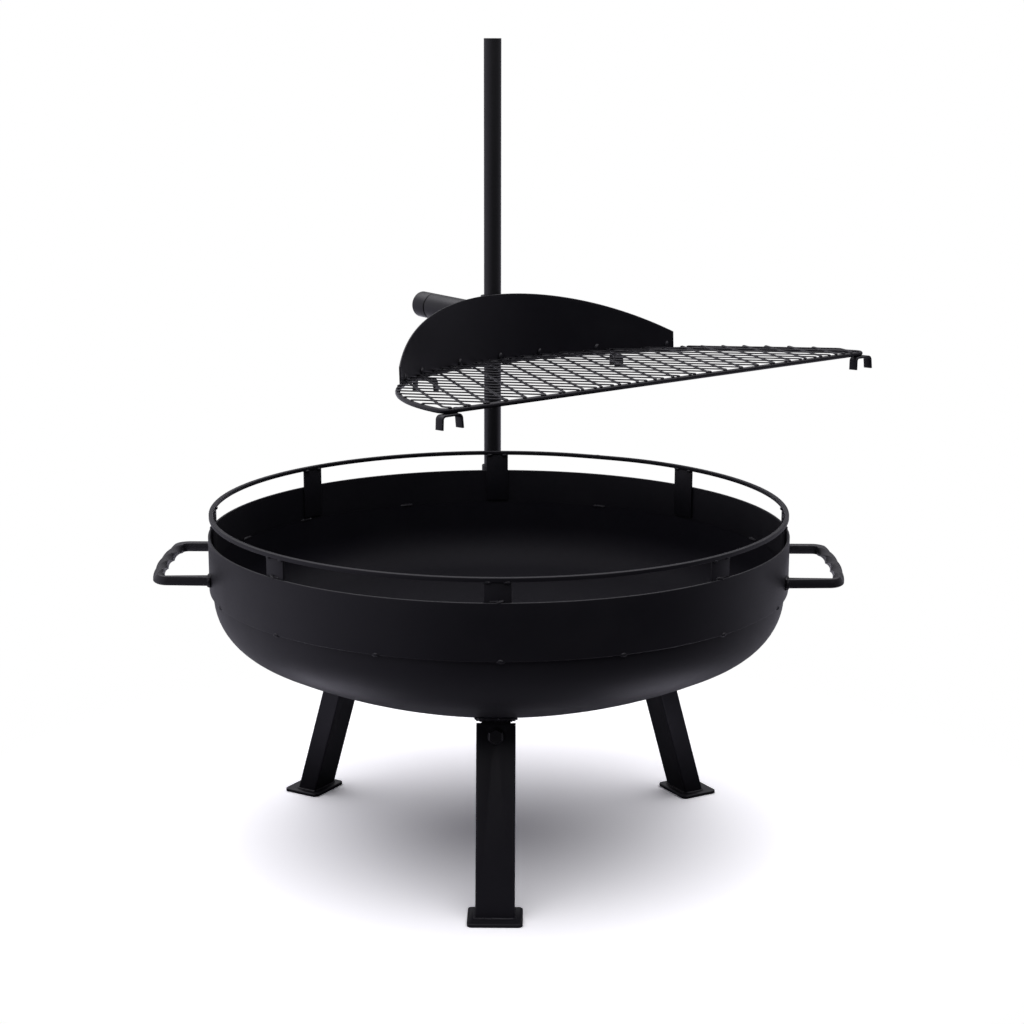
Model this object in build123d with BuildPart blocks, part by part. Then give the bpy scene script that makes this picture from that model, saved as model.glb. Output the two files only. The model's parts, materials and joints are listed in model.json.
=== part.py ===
from build123d import *
import math
import os

os.makedirs("parts", exist_ok=True)

# Fire pit with a swinging half-moon cooking grate, all lengths in millimetres.
# The origin is on the ground at the middle of the outline seen from above.
# +Z is up and -Y is the front, opposite the pole.

# Bowl
BOWL_X = -44.9
BOWL_Y = -79.3
BAND_RADIUS = 381.0
BAND_WALL = 3.0
BAND_BOTTOM = 349.0
RIM_Z = 419.5
DISH_RADIUS = 375.8
DISH_WALL = 2.5
DISH_TOP = 372.0
KNUCKLE_RADIUS = 73.3
KNUCKLE_Z = 341.4
CROWN_RADIUS = 731.2
TACK_COUNT = 16
TACK_START = 1.1
TACK_RADIUS = 4.0

# Rail above the rim
RAIL_BAR = 5.6
RAIL_RADIUS = 376.5
RAIL_TOP = 449.0
TAB_AZIMUTHS = (0.8, 45.9, 91.3, 136.4, 180.8, 225.4, 270.6, 315.7)
TAB_WIDTH = 32.0
TAB_THICKNESS = 3.0
TAB_BOTTOM = 375.0

# Carry handles
HANDLE_BAR = 11.1
HANDLE_Z = 370.0
HANDLE_SPAN = 186.0
HANDLE_REACH = 443.0
HANDLE_BEND = 14.0
GRIP_BOW_RADIUS = 600.0
TWIST_HALF_ANGLE = 6.3
TWIST_TURN = 270.0
TWIST_STEP = 22.5

# Legs
LEG_AZIMUTHS = (270.0, 30.0, 150.0)
LEG_WIDTH = 48.4
LEG_DEPTH = 28.0
LEG_WALL = 2.0
LEG_TOP_RADIUS = 237.6
LEG_TOP_Z = 227.6
LEG_FOOT_RADIUS = 304.6
FOOT_WIDTH = 68.0
FOOT_LENGTH = 55.0
FOOT_THICKNESS = 4.5
FOOT_RADIUS = 308.5
STUB_WIDTH = 36.0
STUB_CLEARANCE = 0.2
STUB_WALL = 2.5
STUB_DEPTH_IN_LEG = 60.0
BOLT_BELOW_TOP = 15.8
BOLT_RADIUS = 5.0
BOLT_HOLE_RADIUS = 5.25
BOLT_FLATS = 17.0
BOLT_HEAD_HEIGHT = 6.4
NUT_HEIGHT = 8.0
WASHER_RADIUS = 10.0
WASHER_THICKNESS = 2.0

# Pole and its socket
POLE_X = BOWL_X - 15.8
POLE_Y = BOWL_Y + 397.0
POLE_RADIUS = 12.7
POLE_WALL = 2.0
POLE_TOP = 1049.0
RUNNING_CLEARANCE = 0.05
SOCKET_RADIUS = 15.9
SOCKET_TOP = 424.0
SOCKET_FLOOR_THICKNESS = 4.0
SOCKET_BEAD_RADIUS = 4.5

# Grate, in its own plane: X along the straight edge, Y from the fire to the pole
GRATE_X = BOWL_X - 14.0
GRATE_Y = BOWL_Y + 397.0
GRATE_TURN = 40.3
GRATE_RISE = 0.0458
GRATE_Z = 583.0
ROD_RADIUS = 3.5
ARC_RADIUS = 392.0
ARC_CENTRE = 417.0
EDGE_DISTANCE = 380.0
CORNER_BEND = 14.0
CORNER_TAIL = 372.0
MESH_RADIUS = 390.0
MESH_THICKNESS = 2.2
DIAMOND_PITCH = 32.4
DIAMOND_LENGTH = 58.4
STRAND_SHARE = 0.89
MESH_BORDER = 3.0

# Clips that straddle the rail when the grate is lowered
CLIP_SPACING = 30.5
CLIP_WIDTH = 14.0
CLIP_THICKNESS = 3.0
CLIP_DROP = 22.4
CLIP_BEND = 3.5
FRONT_CLIP = 382.0
REAR_CLIP_SIDE = 182.0
REAR_CLIP_DISTANCE = 70.0
CLIP_AIM = 397.2

# Heat shield
SHIELD_THICKNESS = 2.0
SHIELD_HALF_LENGTH = 294.5
SHIELD_OFFSET = -17.0
SHIELD_HEIGHT = 99.0
SHIELD_CROWN = 641.0
SHIELD_STEPS = 12

# Collar and grate handle
COLLAR_RADIUS = 17.5
COLLAR_BOTTOM = 580.0
COLLAR_TOP = 678.7
SADDLE_WIDTH = 20.0
SADDLE_BOTTOM = 6.0
SADDLE_TOP = 86.0
GRIP_Z = 644.4
GRIP_RISE = 0.026
GRIP_RADIUS = 19.5
GRIP_START = 32.0
CAP_START = 146.5
CAP_END = 175.6
GROOVE_GAP = 1.2
STEM_RADIUS = 8.0


def bowl_plane(z):
    return Plane(origin=(BOWL_X, BOWL_Y, z))


def bowl_section():
    return Plane(origin=(BOWL_X, BOWL_Y, 0), x_dir=(1, 0, 0), z_dir=(0, -1, 0))


def outward(azimuth):
    angle = math.radians(azimuth)
    return Vector(math.cos(angle), math.sin(angle), 0)


def sideways(azimuth):
    angle = math.radians(azimuth)
    return Vector(-math.sin(angle), math.cos(angle), 0)


def bowl_point(azimuth, radius, z):
    return Vector(BOWL_X, BOWL_Y, z) + outward(azimuth) * radius


BOWL_AXIS = Axis((BOWL_X, BOWL_Y, 0), (0, 0, 1))
POLE_AXIS = Axis((POLE_X, POLE_Y, 0), (0, 0, 1))

# The crown and the knuckle meet where both arcs share one normal.
KNUCKLE_CENTRE = DISH_RADIUS - KNUCKLE_RADIUS
CENTRE_RISE = math.sqrt((CROWN_RADIUS - KNUCKLE_RADIUS) ** 2 - KNUCKLE_CENTRE ** 2)
CROWN_CENTRE_Z = KNUCKLE_Z + CENTRE_RISE
CROWN_ANGLE = math.degrees(math.atan2(KNUCKLE_CENTRE, CENTRE_RISE))


# ---------------------------------------------------------------- bowl

with BuildPart() as bowl_band:
    with BuildSketch(bowl_plane(BAND_BOTTOM)):
        Circle(BAND_RADIUS)
        Circle(BAND_RADIUS - BAND_WALL, mode=Mode.SUBTRACT)
    extrude(amount=RIM_Z - BAND_BOTTOM)
    fillet(bowl_band.edges().group_by(Axis.Z)[-1], 0.9)
bowl_band.part.label = "bowl_band"
export_step(bowl_band.part, "parts/bowl_band.step")


with BuildPart() as bowl_dish:
    with BuildSketch(bowl_section()):
        with BuildLine():
            outer_crown = CenterArc((0, CROWN_CENTRE_Z), CROWN_RADIUS, -90, CROWN_ANGLE)
            outer_knuckle = CenterArc(
                (KNUCKLE_CENTRE, KNUCKLE_Z), KNUCKLE_RADIUS, CROWN_ANGLE - 90, 90 - CROWN_ANGLE
            )
            outer_wall = Line(outer_knuckle @ 1, (DISH_RADIUS, DISH_TOP))
            lip = Line(outer_wall @ 1, (DISH_RADIUS - DISH_WALL, DISH_TOP))
            inner_wall = Line(lip @ 1, (DISH_RADIUS - DISH_WALL, KNUCKLE_Z))
            inner_knuckle = CenterArc(
                (KNUCKLE_CENTRE, KNUCKLE_Z), KNUCKLE_RADIUS - DISH_WALL, 0, CROWN_ANGLE - 90
            )
            inner_crown = CenterArc(
                (0, CROWN_CENTRE_Z), CROWN_RADIUS - DISH_WALL, CROWN_ANGLE - 90, -CROWN_ANGLE
            )
            Line(inner_crown @ 1, outer_crown @ 0)
        make_face()
    revolve(axis=BOWL_AXIS)
bowl_dish.part.label = "bowl_dish"
export_step(bowl_dish.part, "parts/bowl_dish.step")


def cut_away_dish():
    # Takes the whole volume inside the dish's outer face away from the open part.
    with BuildSketch(bowl_section()) as inside:
        with BuildLine():
            crown = CenterArc((0, CROWN_CENTRE_Z), CROWN_RADIUS, -90, CROWN_ANGLE)
            knuckle = CenterArc(
                (KNUCKLE_CENTRE, KNUCKLE_Z), KNUCKLE_RADIUS, CROWN_ANGLE - 90, 90 - CROWN_ANGLE
            )
            Polyline(knuckle @ 1, (DISH_RADIUS, DISH_TOP), (0, DISH_TOP), crown @ 0)
        make_face()
    revolve(inside.sketch, axis=BOWL_AXIS, mode=Mode.SUBTRACT)


# Weld run that closes the gap between the dish and the lower edge of the band.
with BuildPart() as seam_weld:
    with BuildSketch(bowl_plane(BAND_BOTTOM + 1.0)):
        Circle(BAND_RADIUS - BAND_WALL)
        Circle(DISH_RADIUS, mode=Mode.SUBTRACT)
    extrude(amount=4.0)
seam_weld.part.label = "seam_weld"
export_step(seam_weld.part, "parts/seam_weld.step")


# Tack welds spaced round the lower edge of the band.
with BuildPart() as seam_tacks:
    for index in range(TACK_COUNT):
        tack_azimuth = TACK_START + 360.0 / TACK_COUNT * index
        with Locations(bowl_point(tack_azimuth, BAND_RADIUS - 0.8, BAND_BOTTOM)):
            Sphere(
                TACK_RADIUS,
                arc_size1=-90,
                arc_size2=0,
                align=(Align.CENTER, Align.CENTER, Align.MAX),
            )
seam_tacks.part.label = "seam_tacks"
export_step(seam_tacks.part, "parts/seam_tacks.step")


# ---------------------------------------------------------------- rail

with BuildPart() as rail_ring:
    with BuildSketch(bowl_section()):
        with Locations((RAIL_RADIUS, RAIL_TOP - RAIL_BAR / 2)):
            RectangleRounded(RAIL_BAR, RAIL_BAR, 0.8)
    revolve(axis=BOWL_AXIS)
rail_ring.part.label = "rail_ring"
export_step(rail_ring.part, "parts/rail_ring.step")


def build_rail_tab(azimuth, name):
    # The bar's outer corners touch the inside of the band.
    sagitta = BAND_RADIUS - BAND_WALL - math.sqrt((BAND_RADIUS - BAND_WALL) ** 2 - TAB_WIDTH ** 2 / 4)
    back_radius = BAND_RADIUS - BAND_WALL - sagitta - 0.02
    tab_plane = Plane(
        origin=bowl_point(azimuth, back_radius, TAB_BOTTOM),
        x_dir=sideways(azimuth),
        z_dir=-outward(azimuth),
    )
    tab_height = RAIL_TOP - RAIL_BAR - TAB_BOTTOM
    with BuildPart() as tab:
        with BuildSketch(tab_plane):
            with Locations((0, -tab_height / 2 if tab_plane.y_dir.Z < 0 else tab_height / 2)):
                Rectangle(TAB_WIDTH, tab_height)
        extrude(amount=TAB_THICKNESS)
    tab.part.label = name
    export_step(tab.part, "parts/" + name + ".step")


for index, azimuth in enumerate(TAB_AZIMUTHS):
    build_rail_tab(azimuth, "rail_tab_" + str(index + 1))


# ---------------------------------------------------------------- carry handles

def build_carry_handle(side, name):
    # A square bar bent into a loop, with a bowed grip that is twisted along its middle.
    def handle_point(x, y):
        return Vector(BOWL_X + side * x, BOWL_Y + y, HANDLE_Z)

    def grip_point(angle):
        turn = math.radians(angle)
        x = HANDLE_REACH - GRIP_BOW_RADIUS * (1 - math.cos(turn))
        return handle_point(x, GRIP_BOW_RADIUS * math.sin(turn))

    def grip_tangent(angle):
        turn = math.radians(angle)
        return Vector(-side * math.sin(turn), math.cos(turn), 0)

    half_span = HANDLE_SPAN / 2
    root = BAND_RADIUS - 30.0
    with BuildPart() as loop:
        for end in (-1, 1):
            twist_end = grip_point(end * TWIST_HALF_ANGLE)
            tangent = grip_tangent(end * TWIST_HALF_ANGLE)
            reach = (end * half_span - (twist_end.Y - BOWL_Y)) / tangent.Y
            with BuildLine() as run:
                FilletPolyline(
                    handle_point(root, end * half_span),
                    twist_end + tangent * reach,
                    twist_end,
                    radius=HANDLE_BEND,
                )
            with BuildSketch(Plane(origin=run.line @ 0, x_dir=(0, 0, 1), z_dir=run.line % 0)):
                Rectangle(HANDLE_BAR, HANDLE_BAR)
            sweep(path=run.line)
        step_count = int(TWIST_TURN / TWIST_STEP)
        for step in range(step_count + 1):
            angle = TWIST_HALF_ANGLE * (2 * step / step_count - 1)
            section = Plane(origin=grip_point(angle), x_dir=(0, 0, 1), z_dir=grip_tangent(angle))
            with BuildSketch(section):
                Rectangle(HANDLE_BAR, HANDLE_BAR, rotation=TWIST_STEP * step)
        loft(ruled=True)
        with BuildSketch(bowl_plane(HANDLE_Z - 20.0)):
            Circle(BAND_RADIUS)
        extrude(amount=40.0, mode=Mode.SUBTRACT)
    loop.part.label = name
    export_step(loop.part, "parts/" + name + ".step")


build_carry_handle(-1, "carry_handle_left")
build_carry_handle(1, "carry_handle_right")


# ---------------------------------------------------------------- legs

LEG_RUN = LEG_FOOT_RADIUS - LEG_TOP_RADIUS
LEG_FALL = LEG_TOP_Z - FOOT_THICKNESS
LEG_LENGTH = math.hypot(LEG_RUN, LEG_FALL)


def leg_down(azimuth):
    return (outward(azimuth) * LEG_RUN + Vector(0, 0, -LEG_FALL)) * (1 / LEG_LENGTH)


def leg_front(azimuth):
    # Unit vector square to the leg's wide face, pointing away from the bowl.
    return (outward(azimuth) * LEG_FALL + Vector(0, 0, LEG_RUN)) * (1 / LEG_LENGTH)


def leg_plane(azimuth, along):
    top = bowl_point(azimuth, LEG_TOP_RADIUS, LEG_TOP_Z)
    return Plane(
        origin=top + leg_down(azimuth) * along,
        x_dir=sideways(azimuth),
        z_dir=leg_down(azimuth),
    )


def bolt_plane(azimuth, offset):
    # Square to the bolt, which runs through the leg's wide faces.
    centre = bowl_point(azimuth, LEG_TOP_RADIUS, LEG_TOP_Z) + leg_down(azimuth) * BOLT_BELOW_TOP
    return Plane(
        origin=centre + leg_front(azimuth) * offset,
        x_dir=sideways(azimuth),
        z_dir=leg_front(azimuth),
    )


def drill_bolt_hole(azimuth):
    with BuildSketch(bolt_plane(azimuth, -LEG_DEPTH)) as hole:
        Circle(BOLT_HOLE_RADIUS)
    extrude(hole.sketch, amount=2 * LEG_DEPTH, mode=Mode.SUBTRACT)


def build_leg(azimuth, name):
    with BuildPart() as leg:
        with BuildSketch(leg_plane(azimuth, 0)):
            RectangleRounded(LEG_WIDTH, LEG_DEPTH, 2.5)
            RectangleRounded(
                LEG_WIDTH - 2 * LEG_WALL, LEG_DEPTH - 2 * LEG_WALL, 0.8, mode=Mode.SUBTRACT
            )
        extrude(amount=LEG_LENGTH + 20.0)
        split(bisect_by=Plane(origin=(0, 0, FOOT_THICKNESS)), keep=Keep.TOP)
        drill_bolt_hole(azimuth)
    leg.part.label = name
    export_step(leg.part, "parts/" + name + ".step")


def build_leg_stub(azimuth, name):
    stub_depth = LEG_DEPTH - 2 * LEG_WALL - 2 * STUB_CLEARANCE
    with BuildPart() as stub:
        with BuildSketch(leg_plane(azimuth, -40.0)):
            RectangleRounded(STUB_WIDTH, stub_depth, 2.0)
            RectangleRounded(
                STUB_WIDTH - 2 * STUB_WALL, stub_depth - 2 * STUB_WALL, 0.8, mode=Mode.SUBTRACT
            )
        extrude(amount=40.0 + STUB_DEPTH_IN_LEG)
        cut_away_dish()
        drill_bolt_hole(azimuth)
    stub.part.label = name
    export_step(stub.part, "parts/" + name + ".step")


def build_foot_plate(azimuth, name):
    foot_plane = Plane(
        origin=bowl_point(azimuth, FOOT_RADIUS, 0), x_dir=sideways(azimuth), z_dir=(0, 0, 1)
    )
    with BuildPart() as foot:
        with BuildSketch(foot_plane):
            RectangleRounded(FOOT_WIDTH, FOOT_LENGTH, 6.0)
        extrude(amount=FOOT_THICKNESS)
    foot.part.label = name
    export_step(foot.part, "parts/" + name + ".step")


for azimuth, place in zip(LEG_AZIMUTHS, ("front", "right", "left")):
    build_leg(azimuth, "leg_" + place)
    build_leg_stub(azimuth, "leg_stub_" + place)
    build_foot_plate(azimuth, "foot_plate_" + place)


HALF_DEPTH = LEG_DEPTH / 2

with BuildPart() as leg_bolts:
    for azimuth in LEG_AZIMUTHS:
        with BuildSketch(bolt_plane(azimuth, HALF_DEPTH + WASHER_THICKNESS)):
            RegularPolygon(BOLT_FLATS / 2, 6, major_radius=False, rotation=30)
        extrude(amount=BOLT_HEAD_HEIGHT)
        with BuildSketch(bolt_plane(azimuth, HALF_DEPTH + WASHER_THICKNESS)):
            Circle(BOLT_RADIUS)
        extrude(amount=-(LEG_DEPTH + WASHER_THICKNESS + NUT_HEIGHT + 4.0))
leg_bolts.part.label = "leg_bolts"
export_step(leg_bolts.part, "parts/leg_bolts.step")


with BuildPart() as leg_washers:
    for azimuth in LEG_AZIMUTHS:
        with BuildSketch(bolt_plane(azimuth, HALF_DEPTH)):
            Circle(WASHER_RADIUS)
            Circle(BOLT_RADIUS + 0.3, mode=Mode.SUBTRACT)
        extrude(amount=WASHER_THICKNESS)
leg_washers.part.label = "leg_washers"
export_step(leg_washers.part, "parts/leg_washers.step")


with BuildPart() as leg_nuts:
    for azimuth in LEG_AZIMUTHS:
        with BuildSketch(bolt_plane(azimuth, -HALF_DEPTH)):
            RegularPolygon(BOLT_FLATS / 2, 6, major_radius=False, rotation=30)
            Circle(BOLT_RADIUS + 0.02, mode=Mode.SUBTRACT)
        extrude(amount=-NUT_HEIGHT)
leg_nuts.part.label = "leg_nuts"
export_step(leg_nuts.part, "parts/leg_nuts.step")


# ---------------------------------------------------------------- pole and socket

BORE_RADIUS = POLE_RADIUS + RUNNING_CLEARANCE
SOCKET_FLOOR_TOP = BAND_BOTTOM + SOCKET_FLOOR_THICKNESS

with BuildPart() as pole_socket:
    with BuildSketch(Plane(origin=(POLE_X, POLE_Y, BAND_BOTTOM))):
        Circle(SOCKET_RADIUS)
        Circle(BORE_RADIUS, mode=Mode.SUBTRACT)
    extrude(amount=SOCKET_TOP - BAND_BOTTOM)
    fillet(pole_socket.edges().group_by(Axis.Z)[-1], 0.6)
pole_socket.part.label = "pole_socket"
export_step(pole_socket.part, "parts/pole_socket.step")


with BuildPart() as socket_floor:
    with BuildSketch(Plane(origin=(POLE_X, POLE_Y, BAND_BOTTOM))):
        Circle(BORE_RADIUS - 0.05)
    extrude(amount=SOCKET_FLOOR_THICKNESS)
socket_floor.part.label = "socket_floor"
export_step(socket_floor.part, "parts/socket_floor.step")


def build_socket_weld(side, name):
    # A bead lying in the valley between the socket tube and the band.
    pole_azimuth = math.degrees(math.atan2(POLE_Y - BOWL_Y, POLE_X - BOWL_X))
    bead_centre = bowl_point(pole_azimuth, BAND_RADIUS + 2.0, BAND_BOTTOM + 4.0)
    bead_centre = bead_centre + sideways(pole_azimuth) * side * 9.0
    with BuildPart() as bead:
        with BuildSketch(Plane(origin=bead_centre)):
            Circle(SOCKET_BEAD_RADIUS)
        extrude(amount=RIM_Z - BAND_BOTTOM - 8.0)
        with BuildSketch(bowl_plane(BAND_BOTTOM)):
            Circle(BAND_RADIUS)
        extrude(amount=RIM_Z - BAND_BOTTOM, mode=Mode.SUBTRACT)
        with BuildSketch(Plane(origin=(POLE_X, POLE_Y, BAND_BOTTOM))):
            Circle(SOCKET_RADIUS)
        extrude(amount=RIM_Z - BAND_BOTTOM, mode=Mode.SUBTRACT)
    bead.part.label = name
    export_step(bead.part, "parts/" + name + ".step")


build_socket_weld(-1, "socket_weld_right")
build_socket_weld(1, "socket_weld_left")


with BuildPart() as pole:
    with BuildSketch(Plane(origin=(POLE_X, POLE_Y, SOCKET_FLOOR_TOP))):
        Circle(POLE_RADIUS)
        Circle(POLE_RADIUS - POLE_WALL, mode=Mode.SUBTRACT)
    extrude(amount=POLE_TOP - SOCKET_FLOOR_TOP)
pole.part.label = "pole"
export_step(pole.part, "parts/pole.step")


# ---------------------------------------------------------------- grate

TURN = math.radians(GRATE_TURN)
GRATE_X_DIR = Vector(math.cos(TURN), math.sin(TURN), 0)
GRATE_UP = Vector(-GRATE_RISE * math.sin(TURN), GRATE_RISE * math.cos(TURN), 1).normalized()


def grate_plane(height):
    origin = Vector(GRATE_X, GRATE_Y, GRATE_Z) + GRATE_UP * height
    return Plane(origin=origin, x_dir=GRATE_X_DIR, z_dir=GRATE_UP)


EDGE_Y = -EDGE_DISTANCE
HALF_CHORD = math.sqrt(ARC_RADIUS ** 2 - (ARC_CENTRE - EDGE_DISTANCE) ** 2)
REAR_Y = ARC_RADIUS - ARC_CENTRE

with BuildPart() as frame_arc:
    with BuildLine(grate_plane(0)) as arc_path:
        right_tail = Line((CORNER_TAIL, EDGE_Y), (HALF_CHORD, EDGE_Y))
        half_moon = ThreePointArc((HALF_CHORD, EDGE_Y), (0, REAR_Y), (-HALF_CHORD, EDGE_Y))
        left_tail = Line((-HALF_CHORD, EDGE_Y), (-CORNER_TAIL, EDGE_Y))
        fillet(arc_path.vertices().sort_by(Axis((0, 0, 0), GRATE_X_DIR))[-1], CORNER_BEND)
        fillet(arc_path.vertices().sort_by(Axis((0, 0, 0), GRATE_X_DIR))[0], CORNER_BEND)
    arc_wire = arc_path.wires()[0]
    with BuildSketch(Plane(origin=arc_wire @ 0, z_dir=arc_wire % 0)):
        Circle(ROD_RADIUS)
    sweep(path=arc_wire)
frame_arc.part.label = "frame_arc"
export_step(frame_arc.part, "parts/frame_arc.step")


with BuildPart() as frame_front:
    front_start = grate_plane(0).from_local_coords(Vector(-CORNER_TAIL, EDGE_Y, 0))
    with BuildSketch(Plane(origin=front_start, x_dir=GRATE_UP, z_dir=GRATE_X_DIR)):
        Circle(ROD_RADIUS)
    extrude(amount=2 * CORNER_TAIL)
frame_front.part.label = "frame_front"
export_step(frame_front.part, "parts/frame_front.step")


def half_moon_face(radius, border, mode=Mode.ADD):
    # The grate's outline, drawn at a radius and set back from the straight edge.
    edge = EDGE_Y + border
    half = math.sqrt(radius ** 2 - (ARC_CENTRE + edge) ** 2)
    with BuildLine() as outline:
        ThreePointArc((half, edge), (0, radius - ARC_CENTRE), (-half, edge))
        Line((-half, edge), (half, edge))
    make_face(outline.edges(), mode=mode)


def diamond_centres():
    centres = []
    rows = int(EDGE_DISTANCE / DIAMOND_LENGTH) + 2
    columns = int(ARC_RADIUS / DIAMOND_PITCH) + 2
    for row in range(2 * rows):
        shift = DIAMOND_PITCH / 2 if row % 2 else 0.0
        y = EDGE_Y + DIAMOND_LENGTH / 2 * row
        for column in range(-columns, columns + 1):
            x = DIAMOND_PITCH * column + shift
            reach = math.hypot(x, y + ARC_CENTRE)
            if reach < MESH_RADIUS + DIAMOND_LENGTH / 2:
                centres.append((x, y))
    return centres


with BuildPart() as grate_mesh:
    with BuildSketch(grate_plane(ROD_RADIUS)) as mesh_face:
        with Locations(*diamond_centres()):
            Polygon(
                (DIAMOND_PITCH / 2 * STRAND_SHARE, 0),
                (0, DIAMOND_LENGTH / 2 * STRAND_SHARE),
                (-DIAMOND_PITCH / 2 * STRAND_SHARE, 0),
                (0, -DIAMOND_LENGTH / 2 * STRAND_SHARE),
                align=None,
            )
        half_moon_face(MESH_RADIUS - MESH_BORDER, MESH_BORDER, mode=Mode.INTERSECT)
    holes = mesh_face.sketch
    extrude(amount=MESH_THICKNESS)
    cutter = grate_mesh.part
    with BuildSketch(grate_plane(ROD_RADIUS)):
        half_moon_face(MESH_RADIUS, 0.0)
    extrude(amount=MESH_THICKNESS)
    add(cutter, mode=Mode.SUBTRACT)
grate_mesh.part.label = "grate_mesh"
export_step(grate_mesh.part, "parts/grate_mesh.step")


def build_clip(x, distance, aim_x, aim_y, name):
    # A strip bent to an upside-down U under the rod, lying along the aim direction.
    size = math.hypot(aim_x, aim_y)
    base = grate_plane(0)
    along = base.x_dir * (aim_x / size) + base.y_dir * (aim_y / size)
    origin = base.from_local_coords(Vector(x, -distance, 0))
    across = along.cross(GRATE_UP)
    profile = Plane(origin=origin - across * CLIP_WIDTH / 2, x_dir=along, z_dir=across)
    drop = -1 if profile.y_dir.Z > 0 else 1
    outer = CLIP_SPACING / 2 + CLIP_THICKNESS / 2
    inner = CLIP_SPACING / 2 - CLIP_THICKNESS / 2
    top = drop * ROD_RADIUS
    under = drop * (ROD_RADIUS + CLIP_THICKNESS)
    bottom = drop * CLIP_DROP
    with BuildPart() as clip:
        with BuildSketch(profile):
            with BuildLine():
                Polyline(
                    (-outer, bottom),
                    (-outer, top),
                    (outer, top),
                    (outer, bottom),
                    (inner, bottom),
                    (inner, under),
                    (-inner, under),
                    (-inner, bottom),
                    close=True,
                )
            make_face()
        extrude(amount=CLIP_WIDTH)
        fillet(clip.edges().filter_by(Axis((0, 0, 0), across)).group_by(Axis.Z)[-1], CLIP_BEND)
    clip.part.label = name
    export_step(clip.part, "parts/" + name + ".step")


build_clip(-FRONT_CLIP, EDGE_DISTANCE, 1, 0, "clip_front_left")
build_clip(FRONT_CLIP, EDGE_DISTANCE, 1, 0, "clip_front_right")
REAR_AIM = CLIP_AIM - REAR_CLIP_DISTANCE
build_clip(-REAR_CLIP_SIDE, REAR_CLIP_DISTANCE, REAR_CLIP_SIDE, -REAR_AIM, "clip_rear_left")
build_clip(REAR_CLIP_SIDE, REAR_CLIP_DISTANCE, -REAR_CLIP_SIDE, -REAR_AIM, "clip_rear_right")


# The shield is a lens-shaped strip rolled to the grate's curve.
def shield_height(arc_position):
    drop = SHIELD_CROWN - math.sqrt(SHIELD_CROWN ** 2 - arc_position ** 2)
    return SHIELD_HEIGHT - drop


def shield_outline():
    points = []
    for step in range(2 * SHIELD_STEPS + 1):
        arc_position = SHIELD_HALF_LENGTH * (step / SHIELD_STEPS - 1)
        angle = (arc_position + SHIELD_OFFSET) / ARC_RADIUS
        points.append((ARC_RADIUS * math.sin(angle), shield_height(arc_position)))
    return points


with BuildPart() as heat_shield:
    with BuildSketch(grate_plane(ROD_RADIUS)):
        with Locations((0, -ARC_CENTRE)):
            Circle(ARC_RADIUS + SHIELD_THICKNESS / 2)
            Circle(ARC_RADIUS - SHIELD_THICKNESS / 2, mode=Mode.SUBTRACT)
        with Locations((0, -ARC_CENTRE - ARC_RADIUS)):
            Rectangle(4 * ARC_RADIUS, 2 * ARC_RADIUS, mode=Mode.SUBTRACT)
    extrude(amount=SHIELD_HEIGHT)
    front_view = Plane(
        origin=(GRATE_X, GRATE_Y, GRATE_Z), x_dir=GRATE_X_DIR, z_dir=-grate_plane(0).y_dir
    )
    outline = shield_outline()
    with BuildSketch(front_view):
        with BuildLine():
            Spline(*outline)
            Polyline(outline[-1], (outline[-1][0], 0), (outline[0][0], 0), outline[0])
        make_face()
    extrude(amount=ARC_CENTRE, mode=Mode.INTERSECT)
heat_shield.part.label = "heat_shield"
export_step(heat_shield.part, "parts/heat_shield.step")


# ---------------------------------------------------------------- collar and grate handle

with BuildPart() as collar:
    with BuildSketch(Plane(origin=(POLE_X, POLE_Y, COLLAR_BOTTOM))):
        Circle(COLLAR_RADIUS)
        Circle(BORE_RADIUS, mode=Mode.SUBTRACT)
    extrude(amount=COLLAR_TOP - COLLAR_BOTTOM + 10.0)
    split(bisect_by=Plane(origin=(POLE_X, POLE_Y, COLLAR_TOP), z_dir=GRATE_UP), keep=Keep.BOTTOM)
collar.part.label = "collar"
export_step(collar.part, "parts/collar.step")


def cut_away_collar():
    with BuildSketch(Plane(origin=(POLE_X, POLE_Y, COLLAR_BOTTOM - 40.0))) as outside:
        Circle(COLLAR_RADIUS)
    extrude(outside.sketch, amount=COLLAR_TOP - COLLAR_BOTTOM + 80.0, mode=Mode.SUBTRACT)


# Block that joins the collar to the back of the shield.
with BuildPart() as shield_saddle:
    with BuildSketch(grate_plane(SADDLE_BOTTOM)):
        with Locations((0, (REAR_Y - 8.0) / 2)):
            Rectangle(SADDLE_WIDTH, 8.0 - REAR_Y)
    extrude(amount=SADDLE_TOP - SADDLE_BOTTOM)
    with BuildSketch(grate_plane(SADDLE_BOTTOM)):
        with Locations((0, -ARC_CENTRE)):
            Circle(ARC_RADIUS + SHIELD_THICKNESS / 2)
    extrude(amount=SADDLE_TOP - SADDLE_BOTTOM, mode=Mode.SUBTRACT)
    cut_away_collar()
shield_saddle.part.label = "shield_saddle"
export_step(shield_saddle.part, "parts/shield_saddle.step")


# Weld that joins the collar's lower end to the grate's rod.
with BuildPart() as collar_weld:
    with BuildSketch(grate_plane(-3.5)):
        with Locations((0, REAR_Y + 6.0)):
            Rectangle(16.0, 12.0)
    extrude(amount=7.0)
    with Locations(grate_plane(0).location * Pos(0, -ARC_CENTRE, 0)):
        Torus(ARC_RADIUS, ROD_RADIUS, mode=Mode.SUBTRACT)
    cut_away_collar()
collar_weld.part.label = "collar_weld"
export_step(collar_weld.part, "parts/collar_weld.step")


GRIP_DIR = Vector(-math.sin(TURN), math.cos(TURN), GRIP_RISE).normalized()


def grip_plane(distance):
    origin = Vector(GRATE_X, GRATE_Y, GRIP_Z) + GRIP_DIR * distance
    return Plane(origin=origin, x_dir=GRATE_X_DIR, z_dir=GRIP_DIR)


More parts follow.
